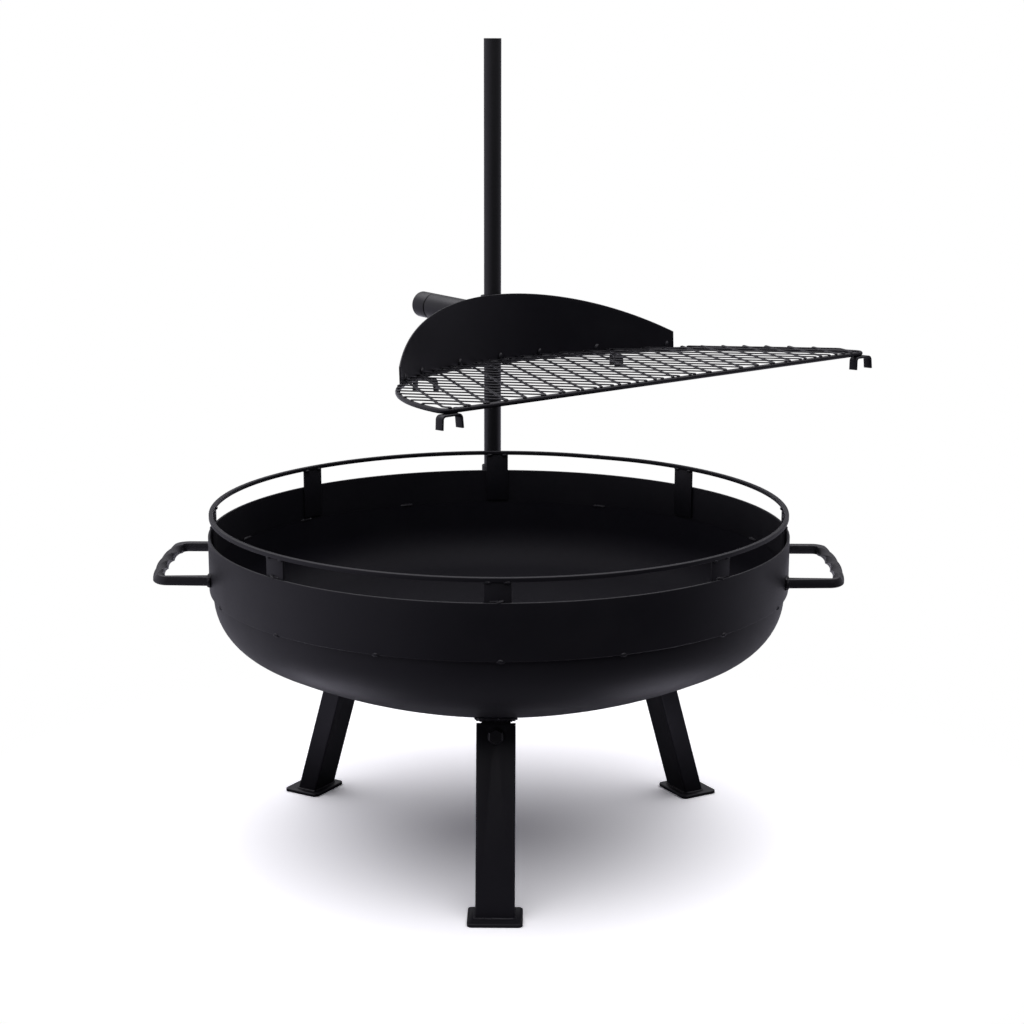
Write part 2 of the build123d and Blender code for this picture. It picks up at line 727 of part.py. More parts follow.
with BuildPart() as handle_stem:
    with BuildSketch(grip_plane(COLLAR_RADIUS - 6.0)):
        Circle(STEM_RADIUS)
    extrude(amount=CAP_START - COLLAR_RADIUS + 16.0)
    cut_away_collar()
handle_stem.part.label = "handle_stem"
export_step(handle_stem.part, "parts/handle_stem.step")


with BuildPart() as handle_grip:
    with BuildSketch(grip_plane(GRIP_START)):
        Circle(GRIP_RADIUS)
        Circle(STEM_RADIUS + 0.05, mode=Mode.SUBTRACT)
    extrude(amount=CAP_START - GROOVE_GAP - GRIP_START)
    fillet(handle_grip.edges().filter_by(GeomType.CIRCLE).sort_by(SortBy.RADIUS)[-2:], 1.5)
handle_grip.part.label = "handle_grip"
export_step(handle_grip.part, "parts/handle_grip.step")


with BuildPart() as handle_cap:
    with BuildSketch(grip_plane(CAP_START)):
        Circle(GRIP_RADIUS)
    extrude(amount=CAP_END - CAP_START)
    with BuildSketch(grip_plane(CAP_START)):
        Circle(STEM_RADIUS + 0.05)
    extrude(amount=10.5, mode=Mode.SUBTRACT)
    fillet(handle_cap.edges().filter_by(GeomType.CIRCLE).sort_by(SortBy.RADIUS)[-2:], 1.5)
handle_cap.part.label = "handle_cap"
export_step(handle_cap.part, "parts/handle_cap.step")
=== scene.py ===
import json
import math

import bmesh
import bpy
import numpy as np
from mathutils import Matrix, Vector


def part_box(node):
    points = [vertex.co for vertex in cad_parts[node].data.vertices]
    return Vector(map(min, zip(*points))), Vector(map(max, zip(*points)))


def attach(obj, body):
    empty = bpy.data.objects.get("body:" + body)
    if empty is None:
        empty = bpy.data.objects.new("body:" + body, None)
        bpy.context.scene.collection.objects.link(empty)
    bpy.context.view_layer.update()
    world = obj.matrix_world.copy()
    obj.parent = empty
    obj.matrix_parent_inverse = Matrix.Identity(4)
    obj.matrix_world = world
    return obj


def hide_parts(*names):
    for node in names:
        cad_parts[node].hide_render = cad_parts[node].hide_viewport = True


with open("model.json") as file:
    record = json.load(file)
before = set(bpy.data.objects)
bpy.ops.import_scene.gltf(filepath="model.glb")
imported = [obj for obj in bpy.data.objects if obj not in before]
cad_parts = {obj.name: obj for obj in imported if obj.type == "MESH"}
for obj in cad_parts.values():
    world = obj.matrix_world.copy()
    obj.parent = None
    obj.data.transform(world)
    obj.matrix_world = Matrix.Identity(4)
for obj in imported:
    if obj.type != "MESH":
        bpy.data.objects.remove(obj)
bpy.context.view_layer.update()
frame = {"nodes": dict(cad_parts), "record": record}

MM = 0.001


def middle(node):
    low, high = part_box(node)
    return (low + high) / 2


def add_object(name, data):
    obj = bpy.data.objects.new(name, data)
    bpy.context.scene.collection.objects.link(obj)
    return obj


BOWL = middle("bowl_band")
POLE = middle("pole")


# ---- camera

CAMERA_RIGHT = 40.98 * MM
CAMERA_BACK = 2758.81 * MM
CAMERA_HEIGHT = 1063.78 * MM
CAMERA_PAN = -0.00869
CAMERA_PITCH = 0.22206
CAMERA_ROLL = 0.00212
CAMERA_LENS = 75.417


def make_camera():
    data = bpy.data.cameras.new("camera")
    data.lens = CAMERA_LENS
    data.sensor_width = 36.0
    data.clip_start = 0.05
    data.clip_end = 200.0
    camera = add_object("camera", data)
    forward = Vector((
        math.sin(CAMERA_PAN) * math.cos(CAMERA_PITCH),
        math.cos(CAMERA_PAN) * math.cos(CAMERA_PITCH),
        -math.sin(CAMERA_PITCH),
    ))
    level_right = Vector((math.cos(CAMERA_PAN), -math.sin(CAMERA_PAN), 0))
    level_up = level_right.cross(forward)
    right = level_right * math.cos(CAMERA_ROLL) + level_up * math.sin(CAMERA_ROLL)
    up = level_up * math.cos(CAMERA_ROLL) - level_right * math.sin(CAMERA_ROLL)
    turn = Matrix((right, up, -forward)).transposed().to_4x4()
    place = Vector((BOWL.x + CAMERA_RIGHT, BOWL.y - CAMERA_BACK, CAMERA_HEIGHT))
    camera.matrix_world = Matrix.Translation(place) @ turn
    bpy.context.scene.camera = camera


make_camera()


# ---- node helpers

class Nodes:
    """Short way to write a node tree. A value is a number, a colour or another node's socket."""

    def __init__(self, tree):
        self.tree = tree
        tree.nodes.clear()

    def feed(self, socket, value):
        if isinstance(value, bpy.types.NodeSocket):
            self.tree.links.new(value, socket)
        else:
            socket.default_value = value

    def add(self, kind, inputs=None, **settings):
        node = self.tree.nodes.new(kind)
        for key, value in settings.items():
            setattr(node, key, value)
        for key, value in (inputs or {}).items():
            self.feed(node.inputs[key], value)
        return node

    def finish(self, kind, shader):
        self.feed(self.add(kind).inputs[0], shader)

    def noise(self, place, scale, detail, roughness):
        inputs = {"Vector": place, "Scale": scale, "Detail": detail, "Roughness": roughness}
        return self.add("ShaderNodeTexNoise", inputs).outputs["Fac"]

    def ramp(self, factor, start, end, low, high):
        """Goes from low to high while the factor goes from start to end, and stays level past them."""
        inputs = {
            "Value": factor, "From Min": start, "From Max": end, "To Min": low, "To Max": high,
        }
        return self.add("ShaderNodeMapRange", inputs).outputs["Result"]

    def math(self, operation, a, b=0.0):
        return self.add("ShaderNodeMath", {0: a, 1: b}, operation=operation).outputs[0]

    def plus(self, a, b):
        return self.math("ADD", a, b)

    def times(self, a, b):
        return self.math("MULTIPLY", a, b)

    def mix(self, factor, a, b):
        node = self.add("ShaderNodeMix", {0: factor, 6: a, 7: b}, data_type="RGBA")
        return node.outputs[2]


SHEEN = (0.95, 0.92, 1.0, 1.0)
PEEL_SCALE = 260.0
CLOUD_SCALE = 7.0
SPECK_SCALE = 420.0
DUST_COVER = 0.35
SPECK_COVER = 0.5
CLOUD_ROUGHNESS = 0.05
GRAIN_ROUGHNESS = 0.04
GRAIN_HEIGHT = 0.5


def coat_material(name, base, dust, roughness, grain_scale, grain_depth, specular):
    """Satin heat-resistant paint: powder grain, soft orange peel, light dust and rubbed spots."""
    material = bpy.data.materials.new(name)
    material.use_nodes = True
    n = Nodes(material.node_tree)
    place = n.add("ShaderNodeTexCoord").outputs["Object"]
    grain = n.noise(place, grain_scale, 3.0, 0.6)
    peel = n.noise(place, PEEL_SCALE, 2.0, 0.5)
    cloud = n.noise(place, CLOUD_SCALE, 5.0, 0.62)
    specks = n.noise(place, SPECK_SCALE, 1.0, 0.5)
    settled = n.ramp(cloud, 0.42, 0.72, 0.0, DUST_COVER)
    dusty = n.times(settled, n.ramp(grain, 0.35, 0.7, 0.3, 1.0))
    speck = n.ramp(specks, 0.70, 0.78, 0.0, SPECK_COVER)
    broad = n.ramp(cloud, 0.3, 0.7, roughness - CLOUD_ROUGHNESS, roughness + CLOUD_ROUGHNESS)
    fine = n.ramp(grain, 0.3, 0.7, -GRAIN_ROUGHNESS, GRAIN_ROUGHNESS)
    height = n.plus(n.times(grain, GRAIN_HEIGHT), peel)
    bump = n.add("ShaderNodeBump", {"Strength": 1.0, "Distance": grain_depth, "Height": height})
    shader = n.add("ShaderNodeBsdfPrincipled", {
        "Base Color": n.mix(n.math("MAXIMUM", dusty, speck), base, dust),
        "Roughness": n.plus(broad, fine),
        "Normal": bump.outputs["Normal"],
        "Specular IOR Level": specular,
        "Specular Tint": SHEEN,
    })
    n.finish("ShaderNodeOutputMaterial", shader.outputs[0])
    return material


BLACK = (0.0040, 0.0037, 0.0062, 1.0)
DISH_BLACK = (0.0060, 0.0056, 0.0085, 1.0)
DUST = (0.013, 0.0125, 0.015, 1.0)
PALE_DUST = (0.03, 0.03, 0.032, 1.0)

# Base colour, dust colour, roughness, grain scale, grain depth in metres, specular level.
COATS = {
    "bowl_paint": (BLACK, DUST, 0.48, 1500.0, 0.00004, 0.40),
    "dish_paint": (DISH_BLACK, DUST, 0.50, 1500.0, 0.00004, 0.40),
    "dish_inside": (DISH_BLACK, DUST, 0.50, 1500.0, 0.00004, 0.13),
    "loop_paint": ((0.007, 0.0067, 0.009, 1.0), DUST, 0.44, 1500.0, 0.00004, 0.62),
    "pole_paint": ((0.014, 0.014, 0.0155, 1.0), DUST, 0.42, 1500.0, 0.00003, 0.5),
    "grate_paint": (BLACK, DUST, 0.44, 1500.0, 0.00004, 0.40),
    "fastener_black": ((0.010, 0.010, 0.011, 1.0), PALE_DUST, 0.36, 1800.0, 0.00002, 0.5),
    "grip_grey": ((0.009, 0.009, 0.0105, 1.0), PALE_DUST, 0.40, 1200.0, 0.00003, 0.5),
}
MATERIALS = {name: coat_material(name, *coat) for name, coat in COATS.items()}


def set_material(obj, material):
    obj.data.materials.clear()
    obj.data.materials.append(material)


SLOT_OF = {entry["node"]: entry["material_slot"] for entry in frame["record"]["subparts"]}
BODY_OF = {
    node: body for body, nodes in frame["record"]["behaviour"]["bodies"].items() for node in nodes
}
for node_name, node_object in frame["nodes"].items():
    set_material(node_object, MATERIALS[SLOT_OF[node_name]])


# ---- shared shapes

RNG = np.random.default_rng(11)


def dress(name, mesh, slot_name, body, stands_for, sharp):
    """A smooth-shaded object that rides on a body and may stand for CAD nodes."""
    mesh.shade_smooth()
    mesh.set_sharp_from_angle(angle=math.radians(sharp))
    obj = add_object(name, mesh)
    set_material(obj, MATERIALS[slot_name])
    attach(obj, body)
    if stands_for:
        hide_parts(*stands_for)
    return obj


def place_piece(name, made, slot_name, body, stands_for=(), sharp=40.0):
    """Makes a piece from the points and faces of closed shells."""
    verts, faces = made
    mesh = bpy.data.meshes.new(name)
    mesh.from_pydata([tuple(v) for v in verts], [], faces)
    shape = bmesh.new()
    shape.from_mesh(mesh)
    bmesh.ops.recalc_face_normals(shape, faces=shape.faces)
    shape.to_mesh(mesh)
    shape.free()
    return dress(name, mesh, slot_name, body, stands_for, sharp)


def stand_in(name, node, made, sharp=40.0):
    """A piece that stands for one CAD node, on the same body and in the same slot."""
    return place_piece(name, made, SLOT_OF[node], BODY_OF[node], (node,), sharp)


class Shells:
    """Collects closed shells into one piece."""

    def __init__(self):
        self.verts = []
        self.faces = []

    def take(self, made):
        verts, faces = made
        start = len(self.verts)
        self.verts.extend(verts)
        self.faces.extend([tuple(start + i for i in face) for face in faces])

    def place(self, name, slot_name, body):
        place_piece(name, (self.verts, self.faces), slot_name, body)

    def stand_in(self, name, node, sharp=40.0):
        stand_in(name, node, (self.verts, self.faces), sharp)


def lathe(profile, count, origin, axis=(0, 0, 1), wobble=None):
    """Turns (radius, height) points about an axis. A loop closes on itself; a profile that starts
    and ends on the axis closes there."""
    axis = Vector(axis).normalized()
    side = axis.orthogonal().normalized()
    if abs(axis.z) > 0.999:
        side = Vector((1, 0, 0))
    other = axis.cross(side)
    origin = Vector(origin)
    verts, rings = [], []
    for radius, height in profile:
        if radius < 1e-7:
            rings.append([len(verts)])
            verts.append(origin + axis * height)
            continue
        rings.append(range(len(verts), len(verts) + count))
        for step in range(count):
            angle = 2 * math.pi * step / count
            shift = wobble(angle) if wobble else 0.0
            verts.append(
                origin
                + axis * height
                + (side * math.cos(angle) + other * math.sin(angle)) * (radius + shift)
            )
    faces = []
    open_ended = len(rings[0]) == 1 and len(rings[-1]) == 1
    last = len(rings) - 1 if open_ended else len(rings)
    for index in range(last):
        a, b = rings[index], rings[(index + 1) % len(rings)]
        for step in range(count):
            after = (step + 1) % count
            if len(a) == 1:
                faces.append((a[0], b[after], b[step]))
            elif len(b) == 1:
                faces.append((a[step], a[after], b[0]))
            else:
                faces.append((a[step], a[after], b[after], b[step]))
    return verts, faces


def frames_along(points, closed, hint=None):
    """Tangent and two cross directions at each point, carried along without spin."""
    count = len(points)
    tangents = []
    for index in range(count):
        before = points[(index - 1) % count] if closed or index else points[0]
        after = points[(index + 1) % count] if closed or index < count - 1 else points[-1]
        tangents.append((after - before).normalized())
    side = Vector(hint) if hint else tangents[0].orthogonal()
    frames = []
    for tangent in tangents:
        side = (side - tangent * side.dot(tangent)).normalized()
        frames.append((tangent, side, tangent.cross(side)))
    return frames


def sweep(points, section, closed=False, hint=None, sizes=None, turns=None):
    """Carries a closed section along points, with a size and a turn at each point."""
    points = [Vector(p) for p in points]
    frames = frames_along(points, closed, hint)
    verts, faces = [], []
    across = len(section)
    for index, (point, (tangent, side, other)) in enumerate(zip(points, frames)):
        size = sizes[index] if sizes is not None else 1.0
        turn = turns[index] if turns is not None else 0.0
        cosine, sine = math.cos(turn), math.sin(turn)
        for u, v in section:
            a = (u * cosine - v * sine) * size
            b = (u * sine + v * cosine) * size
            verts.append(point + side * a + other * b)
    spans = len(points) if closed else len(points) - 1
    for index in range(spans):
        base, following = index * across, (index + 1) % len(points) * across
        for step in range(across):
            after = (step + 1) % across
            faces.append((base + step, base + after, following + after, following + step))
    if not closed:
        faces.append(tuple(range(across))[::-1])
        faces.append(tuple(range((len(points) - 1) * across, len(points) * across)))
    return verts, faces


def circle_section(radius, count):
    return [
        (radius * math.cos(2 * math.pi * i / count), radius * math.sin(2 * math.pi * i / count))
        for i in range(count)
    ]


def rounded_box_section(width, depth, corner, steps=3):
    section = []
    for quadrant, (sx, sy) in enumerate(((1, 1), (-1, 1), (-1, -1), (1, -1))):
        cx, cy = sx * (width / 2 - corner), sy * (depth / 2 - corner)
        for step in range(steps + 1):
            angle = math.pi / 2 * (quadrant + step / steps)
            section.append((cx + corner * math.cos(angle), cy + corner * math.sin(angle)))
    return section


def weld_bead(points, radius, ripple, closed=False, sides=8, rough=0.12):
    """A run of weld: a round section that swells once every ripple and wanders a little."""
    points = [Vector(p) for p in points]
    travelled = [0.0]
    for a, b in zip(points, points[1:]):
        travelled.append(travelled[-1] + (b - a).length)
    total = travelled[-1]
    sizes, moved = [], []
    noise = RNG.normal(0.0, 1.0, (len(points), 4))
    for index, (point, along) in enumerate(zip(points, travelled)):
        size = 1.0 + 0.13 * math.sin(2 * math.pi * along / ripple) + rough * noise[index, 3] * 0.6
        if not closed:
            end = min(along, total - along) / radius
            if end < 1.0:
                size *= max(0.12, math.sqrt(max(0.0, 1 - (1 - end) ** 2)))
        sizes.append(size)
        moved.append(point + Vector(noise[index, :3]) * radius * rough * 0.5)
    return sweep(moved, circle_section(radius, sides), closed=closed, sizes=sizes)


def weld_blob(centre, normal, along, length, width, height, bands=7, count=12):
    """One tack of weld: a lumpy dome, longer along one direction, sunk a little into the metal."""
    centre, normal = Vector(centre), Vector(normal).normalized()
    along = Vector(along)
    along = (along - normal * along.dot(normal)).normalized()
    across = normal.cross(along)
    verts = [centre + normal * height * (1 + RNG.normal(0, 0.05))]
    for band in range(1, bands):
        polar = math.pi * band / bands
        for step in range(count):
            angle = 2 * math.pi * step / count
            lump = 1 + RNG.normal(0, 0.055)
            verts.append(
                centre
                + along * math.sin(polar) * math.cos(angle) * length / 2 * lump
                + across * math.sin(polar) * math.sin(angle) * width / 2 * lump
                + normal * math.cos(polar) * height * lump
            )
    verts.append(centre - normal * height)
    faces = []
    for step in range(count):
        after = (step + 1) % count
        faces.append((0, 1 + step, 1 + after))
        for band in range(bands - 2):
            a = 1 + band * count
            b = a + count
            faces.append((a + step, b + step, b + after, a + after))
        a = 1 + (bands - 2) * count
        faces.append((a + step, len(verts) - 1, a + after))
    return verts, faces


def eased_copy(node, name, bevel, sharp=30.0):
    """The CAD node's shape with its hard edges rounded over."""
    source = frame["nodes"][node]
    shape = bmesh.new()
    shape.from_mesh(source.data)
    bmesh.ops.remove_doubles(shape, verts=shape.verts, dist=1e-6)
    bmesh.ops.dissolve_limit(
        shape, angle_limit=math.radians(1.0), verts=shape.verts, edges=shape.edges
    )
    hard = [
        edge for edge in shape.edges
        if len(edge.link_faces) == 2 and edge.calc_face_angle() > math.radians(sharp)
    ]
    bmesh.ops.bevel(
        shape, geom=hard, offset=bevel, segments=2, profile=0.5, affect="EDGES",
        clamp_overlap=True,
    )
    bmesh.ops.triangulate(shape, faces=[f for f in shape.faces if len(f.verts) > 4])
    mesh = bpy.data.meshes.new(name)
    shape.to_mesh(mesh)
    shape.free()
    dress(name, mesh, SLOT_OF[node], BODY_OF[node], (node,), 35.0)


# ---- bowl

def outward(azimuth):
    angle = math.radians(azimuth)
    return Vector((math.cos(angle), math.sin(angle), 0))


def sideways(azimuth):
    angle = math.radians(azimuth)
    return Vector((-math.sin(angle), math.cos(angle), 0))


def bowl_point(azimuth, radius, height):
    return Vector((BOWL.x, BOWL.y, height)) + outward(azimuth) * radius


def rounded_loop(corners, radius, steps=4):
    """A closed (radius, height) loop with every corner rounded."""
    loop = []
    count = len(corners)
    for index in range(count):
        corner = np.array(corners[index])
        back = np.array(corners[index - 1]) - corner
        ahead = np.array(corners[(index + 1) % count]) - corner
        back, ahead = back / np.linalg.norm(back), ahead / np.linalg.norm(ahead)
        for step in range(steps + 1):
            share = step / steps
            start, end = corner + back * radius, corner + ahead * radius
            point = (1 - share) ** 2 * start + 2 * share * (1 - share) * corner + share ** 2 * end
            loop.append((float(point[0]), float(point[1])))
    return loop


BAND_LOW, BAND_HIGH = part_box("bowl_band")
BAND_R = (BAND_HIGH.x - BAND_LOW.x) / 2
BAND_BOTTOM, RIM_Z = BAND_LOW.z, BAND_HIGH.z
BAND_WALL = 3.0 * MM
DISH_LOW, DISH_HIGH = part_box("bowl_dish")
DISH_R = (DISH_HIGH.x - DISH_LOW.x) / 2
DISH_TOP = DISH_HIGH.z
DISH_WALL = 2.5 * MM
KNUCKLE_R = 73.3 * MM
KNUCKLE_Z = 341.4 * MM
CROWN_R = 731.2 * MM
KNUCKLE_CENTRE = DISH_R - KNUCKLE_R
CENTRE_RISE = math.sqrt((CROWN_R - KNUCKLE_R) ** 2 - KNUCKLE_CENTRE ** 2)
CROWN_Z = KNUCKLE_Z + CENTRE_RISE
CROWN_ANGLE = math.atan2(KNUCKLE_CENTRE, CENTRE_RISE)
RAIL_LOW, RAIL_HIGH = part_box("rail_ring")
RAIL_TOP = RAIL_HIGH.z
RAIL_BAR = RAIL_HIGH.z - RAIL_LOW.z
RAIL_R = (RAIL_HIGH.x - RAIL_LOW.x) / 2 - RAIL_BAR / 2


def rolled_sheet(amplitude, waves):
    """Slow unevenness of a rolled sheet, as a change of radius round the bowl."""
    shares = [(wave, RNG.uniform(0, 2 * math.pi), amplitude / (1 + 0.3 * wave)) for wave in waves]
    return lambda angle: sum(size * math.sin(wave * angle + phase) for wave, phase, size in shares)


BAND_EDGE = 1.05 * MM
BAND_RING = 23.0 * MM
ROLL_DEPTH = 0.16 * MM
ROLL_WAVES = (3, 5, 7, 11)
CROWN_STEPS = 16
KNUCKLE_STEPS = 12


def dish_curve(knuckle, crown):
    """The dish's section from its middle to the top of its knuckle, as (radius, height) points."""
    curve = []
    for step in range(CROWN_STEPS + 1):
        angle = CROWN_ANGLE * step / CROWN_STEPS
        curve.append((crown * math.sin(angle), CROWN_Z - crown * math.cos(angle)))
    for step in range(1, KNUCKLE_STEPS + 1):
        angle = CROWN_ANGLE + (math.pi / 2 - CROWN_ANGLE) * step / KNUCKLE_STEPS
        curve.append(
            (KNUCKLE_CENTRE + knuckle * math.sin(angle), KNUCKLE_Z - knuckle * math.cos(angle))
        )
    return curve


def make_bowl():
    """The band and the dish. The dish's inside is duller than its outside."""
    inside = BAND_R - BAND_WALL
    band = rounded_loop((
        (BAND_R, BAND_BOTTOM), (BAND_R, BAND_BOTTOM + BAND_RING), (BAND_R, RIM_Z - BAND_RING),
        (BAND_R, RIM_Z), (inside, RIM_Z), (inside, BAND_BOTTOM),
    ), BAND_EDGE)
    made = lathe(band, 288, (BOWL.x, BOWL.y, 0), wobble=rolled_sheet(ROLL_DEPTH, ROLL_WAVES))
    stand_in("bowl_band_shell", "bowl_band", made)

    profile = dish_curve(KNUCKLE_R, CROWN_R)
    # The lip is ground to a feather edge, so that only its tacks catch the light.
    profile.append((DISH_R, DISH_TOP - 0.3 * MM))
    profile.append((DISH_R - 0.1 * MM, DISH_TOP - 0.3 * MM))
    profile.append((DISH_R - 0.25 * MM, DISH_TOP - 2.5 * MM))
    profile.extend(dish_curve(KNUCKLE_R - DISH_WALL, CROWN_R - DISH_WALL)[::-1])
    made = lathe(profile, 240, (BOWL.x, BOWL.y, 0))
    dish = stand_in("bowl_dish_shell", "bowl_dish", made)
    set_material(dish, MATERIALS["dish_paint"])
    dish.data.materials.append(MATERIALS["dish_inside"])
    for face in dish.data.polygons:
        face.material_index = int(face.normal.z > 0.01)


def arc_points(start, end, radius, height, step=1.0):
    count = max(3, int(abs(end - start) / step) + 1)
    return [bowl_point(azimuth, radius, height) for azimuth in np.linspace(start, end, count)]


TACK_COUNT = 16
TACK_START = 1.1
LIP_TACKS = (22.0, 67.6, 112.2, 138.4, 158.9, 205.0, 250.0, 292.0, 335.0)


def make_seam():
    circle = [bowl_point(0.8 * i, BAND_R - 3.6 * MM, BAND_BOTTOM + 0.4 * MM) for i in range(450)]
    made = weld_bead(circle, 1.7 * MM, 9.0 * MM, closed=True, rough=0.10)
    stand_in("seam_bead", "seam_weld", made)

    tacks = Shells()
    for index in range(TACK_COUNT):
        azimuth = 360.0 / TACK_COUNT * index + TACK_START + RNG.uniform(-0.4, 0.4)
        normal = outward(azimuth) * 0.55 + Vector((0, 0, -0.8))
        tacks.take(weld_blob(
            bowl_point(azimuth, BAND_R - 1.9 * MM, BAND_BOTTOM + 0.2 * MM), normal, sideways(azimuth),
            11 * MM, 6.5 * MM, 3.0 * MM,
        ))
    tacks.stand_in("seam_tack_welds", "seam_tacks")

    lip = Shells()
    for azimuth in LIP_TACKS:
        lip.take(weld_bead(
            arc_points(azimuth - 1.5, azimuth + 1.5, DISH_R + 1.0 * MM, DISH_TOP - 0.3 * MM, 0.3),
            2.1 * MM, 5.0 * MM,
        ))
    lip.place("lip_tack_welds", "bowl_paint", "bowl")


# ---- rail

TAB_NODES = ["rail_tab_" + str(index + 1) for index in range(8)]
FLAT_SPOT = 68.0
FLAT_SPOT_WIDTH = 8.0
FLAT_SPOT_DEPTH = 2.6 * MM


def azimuth_of(point):
    return math.degrees(math.atan2(point.y - BOWL.y, point.x - BOWL.x)) % 360


def make_rail():
    points = []
    for azimuth in range(360):
        away = (azimuth - FLAT_SPOT + 180) % 360 - 180
        dent = FLAT_SPOT_DEPTH * math.exp(-(away / FLAT_SPOT_WIDTH) ** 2)
        points.append(bowl_point(azimuth, RAIL_R - dent, RAIL_TOP - RAIL_BAR / 2))
    section = rounded_box_section(RAIL_BAR, RAIL_BAR, 1.0 * MM)
    made = sweep(points, section, closed=True, hint=(1, 0, 0))
    stand_in("rail_hoop", "rail_ring", made, sharp=50)

    welds = Shells()
    for index, node in enumerate(TAB_NODES):
        centre = middle(node)
        azimuth = azimuth_of(centre)
        lean = (-1) ** index
        # The tack between the tab and the bowl's rim.
        welds.take(weld_blob(
            bowl_point(azimuth + 0.5 * lean, BAND_R - 2.6 * MM, RIM_Z + 0.2 * MM),
            outward(azimuth) * 0.7 + Vector((0, 0, 1)), sideways(azimuth) + Vector((0, 0, 0.9 * lean)),
            12 * MM, 5 * MM, 2.8 * MM,
        ))
        welds.take(weld_bead(
            arc_points(
                azimuth - 1.6, azimuth + 1.3, BAND_R - BAND_WALL - 0.6 * MM, RIM_Z + 0.5 * MM, 0.25
            ),
            1.7 * MM, 4.0 * MM,
        ))
        for side in (-1, 1):
            # The tacks between the tab and the hoop, outside and inside near each end.
            for facing, off, length in ((1, 1.4 * MM, 9 * MM), (-1, -2.3 * MM, 8 * MM)):
                welds.take(weld_blob(
                    bowl_point(azimuth + 1.7 * side, RAIL_R + off, RAIL_TOP - RAIL_BAR - 0.2 * MM),
                    outward(azimuth) * facing + Vector((0, 0, -0.3)), sideways(azimuth),
                    length, 4.2 * MM, 2.0 * MM,
                ))
    joint = bowl_point(FLAT_SPOT, RAIL_R - FLAT_SPOT_DEPTH, RAIL_TOP - RAIL_BAR / 2)
    welds.take(weld_blob(
        joint + Vector((0, 0, RAIL_BAR / 2 - 0.4 * MM)), (0, 0, 1), sideways(FLAT_SPOT),
        7 * MM, 6.0 * MM, 1.0 * MM,
    ))
    welds.place("rail_tack_welds", "bowl_paint", "bowl")
    for node in TAB_NODES:
        eased_copy(node, node + "_plate", 0.7 * MM)


# ---- carry handles

HANDLE_BAR = 11.7 * MM
HANDLE_Z = middle("carry_handle_left").z
HANDLE_REACH = 443.0 * MM
HANDLE_HALF_SPAN = 93.0 * MM
HANDLE_BOW = 600.0 * MM
HANDLE_BEND = 13.0 * MM
HANDLE_SINK = 1.5 * MM
TWIST_PITCH = 43.6 * MM
TWIST_START = -96.8 * MM


def make_carry_handle(side, node, name):
    """A square bar bent to a bow, twisted by four quarter turns along its grip."""
    grip_end = HANDLE_HALF_SPAN - HANDLE_BEND
    line = []
    for y in np.linspace(-grip_end, grip_end, 97):
        x = HANDLE_REACH - (HANDLE_BOW - math.sqrt(HANDLE_BOW ** 2 - y ** 2))
        line.append((x, y))
    corner_x = line[0][0]
    root = math.sqrt(BAND_R ** 2 - HANDLE_HALF_SPAN ** 2) - HANDLE_SINK

    def bend(direction):
        points = []
        for step in range(1, 12):
            angle = math.pi / 2 * step / 12
            points.append((
                corner_x - HANDLE_BEND + HANDLE_BEND * math.cos(angle),
                direction * (grip_end + HANDLE_BEND * math.sin(angle)),
            ))
        points.append((corner_x - HANDLE_BEND, direction * HANDLE_HALF_SPAN))
        return points + [(root, direction * HANDLE_HALF_SPAN)]

    path = bend(-1)[::-1] + line + bend(1)
    points = [Vector((BOWL.x + side * x, BOWL.y + y, HANDLE_Z)) for x, y in path]
    turns = []
    for x, y in path:
        quarters = (y - TWIST_START) / TWIST_PITCH if x > root + 20 * MM else (0.0 if y < 0 else 4.0)
        turns.append(side * -math.pi / 2 * min(4.0, max(0.0, quarters)))
    section = rounded_box_section(HANDLE_BAR, HANDLE_BAR, 0.6 * MM, 2)
    made = sweep(points, section, hint=(0, 0, 1), turns=turns)
    loop_piece = stand_in(name, node, made, sharp=50)
    set_material(loop_piece, MATERIALS["loop_paint"])

    welds = Shells()
    for end in (-1, 1):
        centre = Vector((BOWL.x + side * (root + 2.0 * MM), BOWL.y + end * HANDLE_HALF_SPAN, HANDLE_Z))
        azimuth = azimuth_of(centre)
        half = HANDLE_BAR / 2 + 0.6 * MM
        loop = []
        for u, v in rounded_box_section(2 * half, 2 * half, 2.5 * MM, 4):
            y = centre.y + u
            x = math.sqrt(BAND_R ** 2 - (y - BOWL.y) ** 2) + 0.5 * MM
            loop.append(Vector((BOWL.x + side * x, y, HANDLE_Z + v)))
        dense = []
        for a, b in zip(loop, loop[1:] + loop[:1]):
            steps = max(1, int((b - a).length / (1.2 * MM)))
            dense.extend([a.lerp(b, i / steps) for i in range(steps)])
        welds.take(weld_bead(dense, 2.1 * MM, 4.5 * MM, closed=True, rough=0.2))
        blob = bowl_point(azimuth, BAND_R + 1.0 * MM, HANDLE_Z + end * 0.5 * MM)
        welds.take(weld_blob(
            blob + Vector((0, end * 7 * MM, 0)), outward(azimuth), (0, 0, 1),
            14 * MM, 8 * MM, 3.5 * MM,
        ))
    welds.place(name + "_welds", "bowl_paint", "bowl")


# ---- legs

